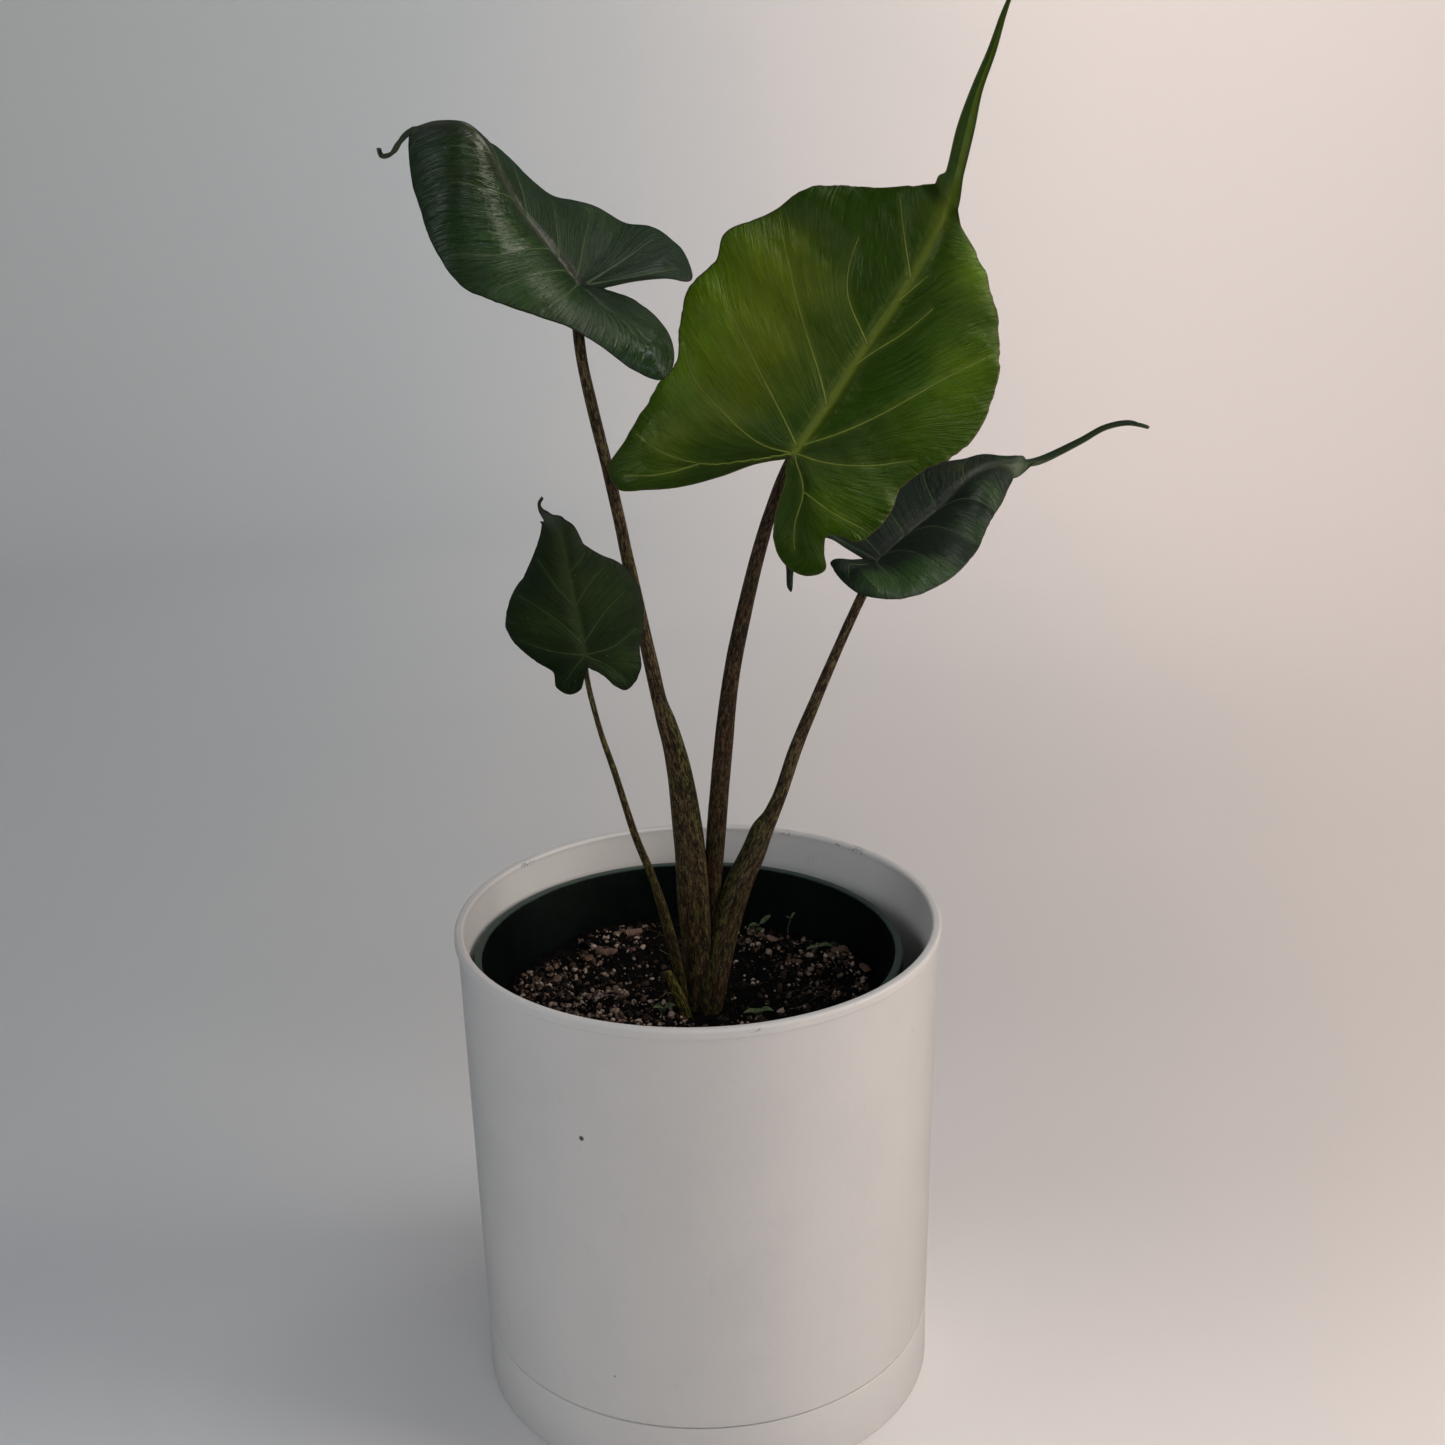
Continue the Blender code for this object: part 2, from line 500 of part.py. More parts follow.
def join_collection(item, group):
    """Union a collection of overlapping solids into an object, then remove them."""
    boolean = item.modifiers.new("join", "BOOLEAN")
    boolean.operation = "UNION"
    boolean.operand_type = "COLLECTION"
    boolean.solver = "MANIFOLD"
    boolean.collection = group
    freeze(item)
    for piece in list(group.objects):
        bpy.data.objects.remove(piece, do_unlink=True)
    bpy.data.collections.remove(group)


def build_rootstock(parts):
    """The corm in the soil that the stalks stand on, a blunt cone under a flat crown."""
    top, low = SOIL_Z, SOIL_Z - ROOTSTOCK_DEPTH
    profile = [(0, top), (CROWN_RADIUS - 2 * EDGE, top), (CROWN_RADIUS, top - 2 * EDGE)]
    profile += [(CROWN_RADIUS, top - 0.3 * ROOTSTOCK_DEPTH)]
    profile += [(0.7 * CROWN_RADIUS, top - 0.7 * ROOTSTOCK_DEPTH)]
    profile += [(0.3 * CROWN_RADIUS, low + 2), (0, low)]
    lathe("rootstock", profile, parts, "corm", CROWN, ROUND_HOLE_SIDES)


def smooth_points(points):
    """A dense smooth curve through points, as a Catmull-Rom spline on chord length.

    Returns the dense points and the index of each given point among them.
    """
    knots = np.asarray(points, float)
    chords = np.linalg.norm(np.diff(knots, axis=0), axis=1)
    place = np.concatenate([[0.0], np.cumsum(chords)])
    slopes = np.gradient(knots, place, axis=0)
    share = np.arange(CURVE_DENSITY)[:, None] / CURVE_DENSITY
    start = 2 * share ** 3 - 3 * share ** 2 + 1
    leave = share ** 3 - 2 * share ** 2 + share
    arrive = share ** 3 - share ** 2
    spans = []
    for i, chord in enumerate(chords):
        bend = chord * (leave * slopes[i] + arrive * slopes[i + 1])
        spans.append(start * knots[i] + (1 - start) * knots[i + 1] + bend)
    dense = np.concatenate(spans + [knots[-1:]])
    return dense, [i * CURVE_DENSITY for i in range(len(knots))]


def spaced(dense, first, last, steps):
    """Points at equal distances along part of a dense curve, both ends included."""
    piece = dense[first:last + 1]
    length = np.concatenate([[0.0], np.cumsum(np.linalg.norm(np.diff(piece, axis=0), axis=1))])
    wanted = np.linspace(0.0, length[-1], steps + 1)
    return np.stack([np.interp(wanted, length, piece[:, k]) for k in range(piece.shape[1])], axis=1)


def tail_edges(leaf, steps):
    """The tail's centre line, and its half width carried sideways, from its foot to its tip."""
    centre = [(*leaf.midrib[-1], 0.0)] + list(leaf.tail)
    dense, marks = smooth_points(centre)
    line = spaced(dense, marks[0], marks[-1], steps)[1:]
    middle = line[:, :3]
    along = np.gradient(np.concatenate([[leaf.midrib[-1]], middle]), axis=0)[1:]
    along /= np.linalg.norm(along, axis=1)[:, None]
    side = np.array([0.0, 1.0, 0.0]) - along[:, 1:2] * along
    side /= np.linalg.norm(side, axis=1)[:, None]
    return middle, side * line[:, 3:4]


def half_grid(leaf, half, sign, steps):
    """A half blade as a grid of local points: columns along the margin, rows from vein to margin.

    Every column is a straight vein from its foot to the margin, bowed by the half's belly. The feet
    run from the hub out along the lobe's vein, stay at its end round the lobe's tip, come back, and
    then follow the midrib and the tail.
    """
    inner_steps, tip_steps, side_steps, tail_steps, rows = steps
    margin = half.inner + half.tip + half.outer + half.side
    dense, marks = smooth_points(margin)
    ends = np.cumsum([len(half.inner), len(half.tip), len(half.outer)])
    breaks = [0, marks[ends[0] - 1], marks[ends[1]], marks[ends[2] - 1], marks[-1]]
    counts = [inner_steps, tip_steps, inner_steps, side_steps]
    edge = np.concatenate([spaced(dense, a, b, n)[(i > 0):] for i, (a, b, n)
                           in enumerate(zip(breaks, breaks[1:], counts))])
    hub = np.zeros(3)
    vein = np.linspace(hub, half.axis_end, inner_steps + 1)
    rib, rib_marks = smooth_points(((0, 0, 0),) + leaf.midrib)
    rib = spaced(rib, 0, rib_marks[-1], side_steps)
    feet = np.concatenate([vein, np.repeat(vein[-1:], tip_steps, axis=0), vein[-2::-1], rib[1:]])
    tail_middle, tail_side = tail_edges(leaf, tail_steps)
    feet = np.concatenate([feet, tail_middle])
    edge = np.concatenate([edge, tail_middle + sign * tail_side])
    ray = edge - feet
    length = np.linalg.norm(ray, axis=1)[:, None]
    unit = ray / np.maximum(length, 1e-9)
    up = np.array([0.0, 0.0, 1.0]) - unit[:, 2:3] * unit
    up /= np.linalg.norm(up, axis=1)[:, None]
    column = np.arange(len(feet))[:, None]
    ease = np.clip(column / inner_steps, 0, 1) * np.clip((len(feet) - tail_steps - column) / 2, 0, 1)
    share = np.linspace(0.0, 1.0, rows + 1)[None, :, None]
    bow = 4 * share * (1 - share) * (half.belly * ease * length * up)[:, None, :]
    return feet[:, None, :] + share * ray[:, None, :] + bow


def leaf_matrix(leaf):
    """Turn a leaf's own frame (along the midrib, across, up off the face) into the world, in mm."""
    heading, pitch, roll = (math.radians(v) for v in (leaf.heading, leaf.pitch, leaf.roll))
    turn = Matrix.Rotation(heading, 4, "Z") @ Matrix.Rotation(-pitch, 4, "Y")
    return Matrix.Translation(leaf.hub) @ turn @ Matrix.Rotation(roll, 4, "X")


def blade_mesh(leaf, steps):
    """The open surface of a blade: both halves welded along the veins, the midrib and the tail."""
    place = np.array(leaf_matrix(leaf))
    shape = bmesh.new()
    for half, sign in ((leaf.left, 1), (leaf.right, -1)):
        grid = half_grid(leaf, half, sign, steps)
        columns, rows = grid.shape[:2]
        world = grid.reshape(-1, 3) @ place[:3, :3].T + place[:3, 3]
        verts = [shape.verts.new(point * MM) for point in world]
        for c in range(columns - 1):
            for r in range(rows - 1):
                corners = [verts[c * rows + r], verts[(c + 1) * rows + r],
                           verts[(c + 1) * rows + r + 1], verts[c * rows + r + 1]]
                shape.faces.new(corners if sign > 0 else corners[::-1])
    bmesh.ops.remove_doubles(shape, verts=shape.verts, dist=WELD * MM)
    bmesh.ops.dissolve_degenerate(shape, edges=shape.edges, dist=WELD * MM)
    bmesh.ops.triangulate(shape, faces=shape.faces)
    mesh = bpy.data.meshes.new(leaf.name)
    shape.to_mesh(mesh)
    shape.free()
    mesh.shade_smooth()
    return mesh


def thicken(item, thickness):
    """Give an open surface an even wall about its middle."""
    solid = item.modifiers.new("wall", "SOLIDIFY")
    solid.thickness = thickness * MM
    solid.offset = 0.0
    solid.use_even_offset = False


def build_leaf(leaf, parts, cutters):
    """A blade, and a thicker copy of it that trims its stalk."""
    steps = (INNER_STEPS, TIP_STEPS, SIDE_STEPS, TAIL_STEPS, ROWS)
    blade = add_object(leaf.name, blade_mesh(leaf, steps), parts, leaf.finish)
    thicken(blade, BLADE_THICK)
    trimmer = add_object("trim_" + leaf.name, blade.data.copy(), cutters)
    thicken(trimmer, BLADE_THICK + 2 * GAP)
    freeze(trimmer)


def stalk_mesh(name, stations, swell=0.0):
    """A stalk lofted through its stations; each ring is an ellipse with its own two half widths."""
    dense, marks = smooth_points(stations)
    rings = spaced(dense, 0, marks[-1], STUB_RINGS if stations is STALKS[STUB] else STALK_RINGS)
    along = np.gradient(rings[:, :3], axis=0)
    along /= np.linalg.norm(along, axis=1)[:, None]
    across = np.cross([0.0, 1.0, 0.0], along)
    across /= np.linalg.norm(across, axis=1)[:, None]
    deep = np.cross(along, across)
    deep[0], across[0] = (0.0, 1.0, 0.0), (1.0, 0.0, 0.0)
    turn = np.arange(STALK_SIDES) * 2 * math.pi / STALK_SIDES
    shape = bmesh.new()
    loops = []
    for ring, sideways, back in zip(rings, across, deep):
        wide = np.where(np.cos(turn) > 0, ring[4], ring[3]) + swell
        offset = (wide * np.cos(turn))[:, None] * sideways
        offset += ((ring[5] + swell) * np.sin(turn))[:, None] * back
        loops.append([shape.verts.new((ring[:3] + step) * MM) for step in offset])
    for low, high in zip(loops, loops[1:]):
        for i in range(STALK_SIDES):
            j = (i + 1) % STALK_SIDES
            shape.faces.new((low[i], low[j], high[j], high[i]))
    shape.faces.new(loops[0][::-1])
    shape.faces.new(loops[-1])
    bmesh.ops.triangulate(shape, faces=shape.faces)
    mesh = bpy.data.meshes.new(name)
    shape.to_mesh(mesh)
    shape.free()
    return mesh


def keep_largest(item):
    """Freeze an object and drop all but its largest closed piece."""
    freeze(item)
    shape = bmesh.new()
    shape.from_mesh(item.data)
    shape.verts.ensure_lookup_table()
    left = set(shape.verts)
    pieces = []
    while left:
        reached, front = set(), [left.pop()]
        while front:
            vertex = front.pop()
            reached.add(vertex)
            linked = {edge.other_vert(vertex) for edge in vertex.link_edges} & left
            left -= linked
            front.extend(linked)
        pieces.append(reached)
    pieces.sort(key=len)
    for piece in pieces[:-1]:
        bmesh.ops.delete(shape, geom=list(piece), context="VERTS")
    shape.to_mesh(item.data)
    shape.free()


def build_stalks(parts, cutters):
    """The leaf stalks and the stub, each cut back from its neighbours and from its own blade."""
    for name, stations in STALKS.items():
        stalk = add_object(name, stalk_mesh(name, stations), parts, "stalk")
        for neighbour in CUT_BACK.get(name, ()):
            guide = cutters.objects.get("clear_" + neighbour)
            if guide is None:
                mesh = stalk_mesh("clear_" + neighbour, STALKS[neighbour], GAP)
                guide = add_object("clear_" + neighbour, mesh, cutters)
            cut(stalk, guide)
        if name != STUB:
            cut(stalk, cutters.objects["trim_leaf_" + name[-1]])
        keep_largest(stalk)
        stalk.data.shade_smooth()
        stalk.data.set_sharp_from_angle(angle=math.radians(STALK_SMOOTH_ANGLE))


def build_seedling(name, place, height, leaf_length, turn, parts):
    """A weed seedling: a thin stem rooted in its hole, with a pair of small leaves fused on top."""
    group = collection(name + "_shapes")
    x, y = place
    low = SOIL_Z - SEEDLING_ROOT
    top = soil_height(x, y) + height
    stem = bpy.data.meshes.new(name)
    shape = bmesh.new()
    middle = Matrix.Translation((x * MM, y * MM, (low + top) / 2 * MM))
    bmesh.ops.create_cone(shape, cap_ends=True, segments=6, radius1=SEEDLING_STEM * MM,
                          radius2=SEEDLING_STEM * MM, depth=(top - low) * MM, matrix=middle)
    shape.to_mesh(stem)
    shape.free()
    plant = add_object(name, stem, parts, "seedling")
    place = Matrix.Translation((x * MM, y * MM, (top - SEEDLING_LEAF_THICK) * MM))
    raised = Matrix.Rotation(math.radians(-SEEDLING_RAISE), 4, "Y")
    size = Matrix.Diagonal((leaf_length / 2, leaf_length / 4, SEEDLING_LEAF_THICK, 1.0))
    out = Matrix.Translation((SEEDLING_REACH * leaf_length * MM, 0, 0))
    for side in (0, 180):
        mesh = bpy.data.meshes.new(f"{name}_leaf")
        shape = bmesh.new()
        bmesh.ops.create_uvsphere(shape, u_segments=8, v_segments=4, radius=MM)
        spin = Matrix.Rotation(math.radians(turn + side), 4, "Z")
        bmesh.ops.transform(shape, matrix=place @ spin @ raised @ out @ size, verts=shape.verts)
        shape.to_mesh(mesh)
        shape.free()
        add_object(f"{name}_leaf_{side}", mesh, group)
    join_collection(plant, group)
    plant.data.shade_smooth()


def main():
    """Build every piece of the potted plant."""
    clear_scene()
    parts = collection("potted_stingray_alocasia")
    cutters = collection("cutters")
    for slot in COLOURS:
        material(slot)
    build_saucer(parts)
    build_planter(parts, cutters)
    build_nursery_pot(parts, cutters)
    build_soil(parts, cutters)
    build_rootstock(parts)
    for leaf in LEAVES:
        build_leaf(leaf, parts, cutters)
    build_stalks(parts, cutters)
    for seedling in SEEDLINGS:
        build_seedling(*seedling, parts)


main()
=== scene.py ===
"""The visual model of a potted stingray alocasia.

Four arrow-shaped leaves with long tails stand on mottled stalks, in a grower's pot of peat inside a white
planter with a flush saucer. Sizes in the classes are in millimetres, and meshes are stored in metres.
+X is the viewer's right, +Y is away from the viewer, +Z is up, and the origin is under the planter.
"""
from __future__ import annotations

import logging
import math
from dataclasses import dataclass, field, replace
from enum import Enum

import bpy
import numpy as np
from mathutils import Matrix, Vector

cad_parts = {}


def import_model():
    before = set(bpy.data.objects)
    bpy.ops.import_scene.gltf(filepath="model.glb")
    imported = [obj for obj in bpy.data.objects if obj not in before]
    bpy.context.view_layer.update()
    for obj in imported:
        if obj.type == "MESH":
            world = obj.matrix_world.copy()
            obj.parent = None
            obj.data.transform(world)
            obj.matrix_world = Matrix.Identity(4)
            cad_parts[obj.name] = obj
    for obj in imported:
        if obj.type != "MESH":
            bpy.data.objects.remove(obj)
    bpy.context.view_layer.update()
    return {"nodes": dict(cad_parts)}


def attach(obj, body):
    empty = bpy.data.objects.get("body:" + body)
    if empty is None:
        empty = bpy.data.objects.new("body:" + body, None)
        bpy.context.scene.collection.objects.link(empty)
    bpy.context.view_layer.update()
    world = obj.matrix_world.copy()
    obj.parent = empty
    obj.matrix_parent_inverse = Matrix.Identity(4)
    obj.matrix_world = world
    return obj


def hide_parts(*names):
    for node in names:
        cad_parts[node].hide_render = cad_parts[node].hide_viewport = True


MM = 0.001
BODY = "root"
WELD = 1e-3
SHARP_ANGLE = 35.0
log = logging.getLogger("alocasia")

Colour = tuple[float, float, float]
Point = tuple[float, float, float]
Pair = tuple[float, float]


class Slot(Enum):
    """The material slots."""
    WHITE_PLASTIC = "white_plastic"
    GREEN_PLASTIC = "green_plastic"
    PEAT = "peat"
    STALK = "stalk"
    DARK_LEAF = "dark_leaf"
    BRIGHT_LEAF = "bright_leaf"
    SEEDLING = "seedling"


class Side(Enum):
    """The two halves of a blade, seen along the midrib from above."""
    LEFT = 1
    RIGHT = -1


# Shader maths

class Level:
    """A number that varies over a surface, as a node socket; its operators add Math nodes."""

    def __init__(self, tree: Tree, socket: bpy.types.NodeSocket) -> None:
        self.tree = tree
        self.socket = socket

    def math(self, operation: str, *values: Level | float, clamp: bool = False) -> Level:
        """One Math node.

        Args:
            operation: The node's operation.
            values: Its inputs in order.
            clamp: Whether the result is held between 0 and 1.

        Returns:
            The node's result.
        """
        settings = {"operation": operation, "use_clamp": clamp}
        return Level(self.tree, self.tree.node("ShaderNodeMath", settings, dict(enumerate(values))))

    def __add__(self, other: Level | float) -> Level:
        """The sum."""
        return self.math("ADD", self, other)

    def __sub__(self, other: Level | float) -> Level:
        """The difference."""
        return self.math("SUBTRACT", self, other)

    def __rsub__(self, other: Level | float) -> Level:
        """The difference from a number."""
        return self.math("SUBTRACT", other, self)

    def __mul__(self, other: Level | float) -> Level:
        """The product."""
        return self.math("MULTIPLY", self, other)

    __radd__ = __add__
    __rmul__ = __mul__

    def held(self) -> Level:
        """The value held between 0 and 1."""
        return self.math("ADD", self, 0.0, clamp=True)

    def rise(self, low: float, high: float) -> Level:
        """A smooth step from 0 at low to 1 at high, or from 1 to 0 where low is the larger."""
        start, end = (low, high) if low < high else (high, low)
        settings = {"interpolation_type": "SMOOTHSTEP"}
        values = {0: self, 1: start, 2: end, 3: 0.0 if low < high else 1.0, 4: 1.0 if low < high else 0.0}
        return Level(self.tree, self.tree.node("ShaderNodeMapRange", settings, values))


class Tree:
    """A material's node tree: a Principled shader, and the few ways in which nodes are added to it."""

    def __init__(self, name: str) -> None:
        self.material = bpy.data.materials.new(name)
        self.material.use_nodes = True
        self.nodes = self.material.node_tree.nodes
        self.links = self.material.node_tree.links
        self.shader = self.nodes["Principled BSDF"]

    def node(self, kind: str, settings: dict, inputs: dict, output: int | str = 0) -> bpy.types.NodeSocket:
        """Any node.

        Args:
            kind: The node's type.
            settings: Its properties, set first; stops fills a colour ramp.
            inputs: Values or links by socket name or number.
            output: The socket that is returned.

        Returns:
            The output socket.
        """
        made = self.nodes.new(kind)
        for name, value in settings.items():
            if name == "stops":
                ramp = made.color_ramp
                while len(ramp.elements) < len(value):
                    ramp.elements.new(1.0)
                for element, (place, colour) in zip(ramp.elements, value):
                    element.position = place
                    element.color = (*colour, 1.0)
            else:
                setattr(made, name, value)
        for name, value in inputs.items():
            self.feed(made.inputs[name], value)
        return made.outputs[output]

    def feed(self, socket: bpy.types.NodeSocket, value: object) -> None:
        """Link a socket to a level or socket, or set its value."""
        if isinstance(value, Level):
            value = value.socket
        if isinstance(value, bpy.types.NodeSocket):
            self.links.new(value, socket)
        elif socket.type == "RGBA" and len(value) == 3:
            socket.default_value = (*value, 1.0)
        else:
            socket.default_value = value

    def place(self) -> bpy.types.NodeSocket:
        """Object coordinates in millimetres."""
        where = self.node("ShaderNodeTexCoord", {}, {}, "Object")
        return self.node("ShaderNodeVectorMath", {"operation": "SCALE"}, {0: where, "Scale": 1 / MM})

    def stretched(self, vector: bpy.types.NodeSocket, scale: Point) -> bpy.types.NodeSocket:
        """A vector scaled by axis."""
        return self.node("ShaderNodeMapping", {}, {"Vector": vector, "Scale": scale})

    def flow(self, name: str) -> bpy.types.NodeSocket:
        """A vector attribute of the mesh."""
        return self.node("ShaderNodeAttribute", {"attribute_name": name}, {}, "Vector")

    def level(self, name: str) -> Level:
        """A number attribute of the mesh."""
        return Level(self, self.node("ShaderNodeAttribute", {"attribute_name": name}, {}, "Fac"))

    def axes(self, vector: bpy.types.NodeSocket) -> tuple[Level, Level, Level]:
        """A vector's three numbers."""
        split = self.node("ShaderNodeSeparateXYZ", {}, {0: vector}).node
        return tuple(Level(self, socket) for socket in split.outputs)

    def noise(self, vector: bpy.types.NodeSocket, scale: float, detail: float = 3.0,
              rough: float = 0.55, bent: float = 0.0) -> Level:
        """Fractal noise, about 0.5 on average; scale is in waves per unit of the vector."""
        values = {"Vector": vector, "Scale": scale, "Detail": detail, "Roughness": rough, "Distortion": bent}
        return Level(self, self.node("ShaderNodeTexNoise", {}, values, "Fac"))

    def cells(self, vector: bpy.types.NodeSocket, scale: float) -> Level:
        """Distance in a Voronoi pattern; scale is in cells per unit of the vector."""
        values = {"Vector": vector, "Scale": scale}
        return Level(self, self.node("ShaderNodeTexVoronoi", {"feature": "F1"}, values, "Distance"))

    def spot(self, centre: Point, radius: float, squash: float) -> Level:
        """A soft spot, 1 at its centre and 0 beyond its radius, squashed in height by a factor."""
        place = self.stretched(self.place(), (1.0, 1.0, squash))
        ends = {0: place, 1: (centre[0], centre[1], centre[2] * squash)}
        far = self.node("ShaderNodeVectorMath", {"operation": "DISTANCE"}, ends, "Value")
        return Level(self, far).rise(radius, radius * 0.55)

    def mix(self, share: Level | float, first: object, second: object) -> bpy.types.NodeSocket:
        """Two colours mixed by a share."""
        settings = {"data_type": "RGBA", "blend_type": "MIX"}
        return self.node("ShaderNodeMix", settings, {0: share, 6: first, 7: second}, 2)

    def shaded(self, colour: object, amount: Level) -> bpy.types.NodeSocket:
        """A colour multiplied by a number."""
        return self.node("ShaderNodeVectorMath", {"operation": "SCALE"}, {0: colour, "Scale": amount})

    def bump(self, height: Level, depth: float) -> None:
        """Raise the surface by a height, in millimetres times depth, on top of any bump before it."""
        normal = self.shader.inputs["Normal"]
        before = normal.links[0].from_socket if normal.is_linked else None
        values = {"Height": height, "Distance": depth * MM, "Strength": 1.0}
        if before:
            values["Normal"] = before
        self.feed(normal, self.node("ShaderNodeBump", {}, values))

    def finish(self, colour: object, **values: object) -> bpy.types.Material:
        """Set the shader's sockets; underscores in a name stand for spaces."""
        self.feed(self.shader.inputs["Base Color"], colour)
        for name, value in values.items():
            self.feed(self.shader.inputs[name.replace("_", " ")], value)
        return self.material


# Curves, noise and meshes

def unit(vectors: np.ndarray) -> np.ndarray:
    """Vectors scaled to length 1, one row each; empty ones stay empty."""
    return vectors / np.maximum(np.linalg.norm(vectors, axis=1), 1e-12)[:, None]


def run_length(path: np.ndarray) -> np.ndarray:
    """How far along a path each of its points lies."""
    return np.concatenate([[0.0], np.cumsum(np.linalg.norm(np.diff(path, axis=0), axis=1))])


def full_turn(steps: int) -> np.ndarray:
    """Equal angles round a turn, from 0."""
    return np.arange(steps) * 2 * math.pi / steps


def smooth_path(points: np.ndarray, density: int = 16) -> tuple[np.ndarray, list[int]]:
    """A dense smooth curve through points: a cubic between each pair, with slopes by chord length.

    Args:
        points: The given points, one row each.
        density: Points made for each span.

    Returns:
        The dense points, and the index of each given point among them.
    """
    knots = np.asarray(points, float)
    chords = np.linalg.norm(np.diff(knots, axis=0), axis=1)
    slopes = np.gradient(knots, run_length(knots), axis=0)
    share = (np.arange(density) / density)[None, :, None]
    start = 2 * share ** 3 - 3 * share ** 2 + 1
    leave = share ** 3 - 2 * share ** 2 + share
    arrive = share ** 3 - share ** 2
    bend = chords[:, None, None] * (leave * slopes[:-1, None] + arrive * slopes[1:, None])
    spans = start * knots[:-1, None] + (1 - start) * knots[1:, None] + bend
    dense = np.concatenate([spans.reshape(-1, knots.shape[1]), knots[-1:]])
    return dense, [i * density for i in range(len(knots))]


def spaced(path: np.ndarray, steps: int) -> np.ndarray:
    """Points at equal distances along a path.

    Args:
        path: The path's points, one row each.
        steps: How many equal parts the path is split into.

    Returns:
        The points, both ends included.
    """
    length = run_length(path)
    wanted = np.linspace(0.0, length[-1], steps + 1)
    return np.stack([np.interp(wanted, length, path[:, k]) for k in range(path.shape[1])], axis=1)


def lattice_noise(places: np.ndarray, seed: int) -> np.ndarray:
    """Smooth noise from -1 to 1: hashed values at whole-number corners, eased between them.

    Args:
        places: Points, one row each, in waves.
        seed: Another seed gives another pattern.

    Returns:
        One number for each point.
    """
    corner = np.floor(places).astype(np.int64)
    part = places - corner
    ease = part * part * part * (part * (part * 6 - 15) + 10)
    total = np.zeros(len(places))
    for shift in np.ndindex(2, 2, 2):
        key = (corner + shift) @ np.array([73856093, 19349663, 83492791]) + seed * 2654435761
        key = (key ^ (key >> 13)) * 1274126177 & 0x7FFFFFFF
        key = (key ^ (key >> 15)) * 2246822519 & 0x7FFFFFFF
        weight = np.prod(np.where(shift, ease, 1 - ease), axis=1)
        total += weight * (key / 0x3FFFFFFF - 1)
    return total


def fractal(places: np.ndarray, octaves: int, seed: int) -> np.ndarray:
    """Layers of lattice noise, each half as tall and twice as fine as the one before."""
    return sum(lattice_noise(places * 2 ** k, seed + k) / 2 ** k for k in range(octaves))


def pull(distance: np.ndarray, reach: float) -> np.ndarray:
    """A bell that is 1 at distance 0 and falls off over reach."""
    return np.exp(-(distance / reach) ** 2)


def step(value: np.ndarray, low: float, high: float) -> np.ndarray:
    """A smooth step from 0 at low to 1 at high."""
    share = np.clip((value - low) / (high - low), 0.0, 1.0)
    return share * share * (3 - 2 * share)


def distances(places: np.ndarray, spot: Pair) -> np.ndarray:
    """How far places in the plane lie from a spot."""
    return np.linalg.norm(places - spot, axis=1)


def path_distance(places: np.ndarray, path: np.ndarray) -> tuple[np.ndarray, np.ndarray]:
    """Distance from places to a polyline, and how far along it the nearest point lies.

    Args:
        places: Points in the plane, one row each.
        path: The polyline's points.

    Returns:
        The distances, and the shares of the polyline's segments passed.
    """
    nearest = np.full(len(places), np.inf)
    share = np.zeros(len(places))
    for index, (start, end) in enumerate(zip(path, path[1:])):
        line = end - start
        along = np.clip((places - start) @ line / max(line @ line, 1e-12), 0.0, 1.0)
        far = np.linalg.norm(places - start - along[:, None] * line, axis=1)
        closer = far < nearest
        nearest[closer] = far[closer]
        share[closer] = (index + along[closer]) / (len(path) - 1)
    return nearest, share


def grid_faces(rows: int, columns: int, wrapped: bool = False) -> np.ndarray:
    """Four-cornered faces of a grid of points stored row by row.

    Args:
        rows: How many rows of points.
        columns: How many points in a row.
        wrapped: Whether the last column joins the first.

    Returns:
        The faces, one row each.
    """
    row = np.arange(rows - 1)[:, None]
    column = np.arange(columns if wrapped else columns - 1)[None, :]
    after = (column + 1) % columns
    corners = [row * columns + column, (row + 1) * columns + column,
               (row + 1) * columns + after, row * columns + after]
    return np.stack([c.ravel() for c in corners], axis=1)


def welded(points: np.ndarray, quads: np.ndarray, *fields: np.ndarray) -> list[np.ndarray]:
    """Merge points that share a place, split faces into triangles, and drop the empty ones.

    Args:
        points: All points, one row each.
        quads: Four-cornered faces.
        fields: Values held for each point.

    Returns:
        The kept points, the triangles, and the fields of the kept points.
    """
    keys = np.round(points / WELD).astype(np.int64)
    _, first, where = np.unique(keys, axis=0, return_index=True, return_inverse=True)
    quads = where.reshape(-1)[quads]
    triangles = np.concatenate([quads[:, [0, 1, 2]], quads[:, [0, 2, 3]]])
    a, b, c = triangles.T
    triangles = triangles[(a != b) & (b != c) & (a != c)]
    return [points[first], triangles, *(f[first] for f in fields)]


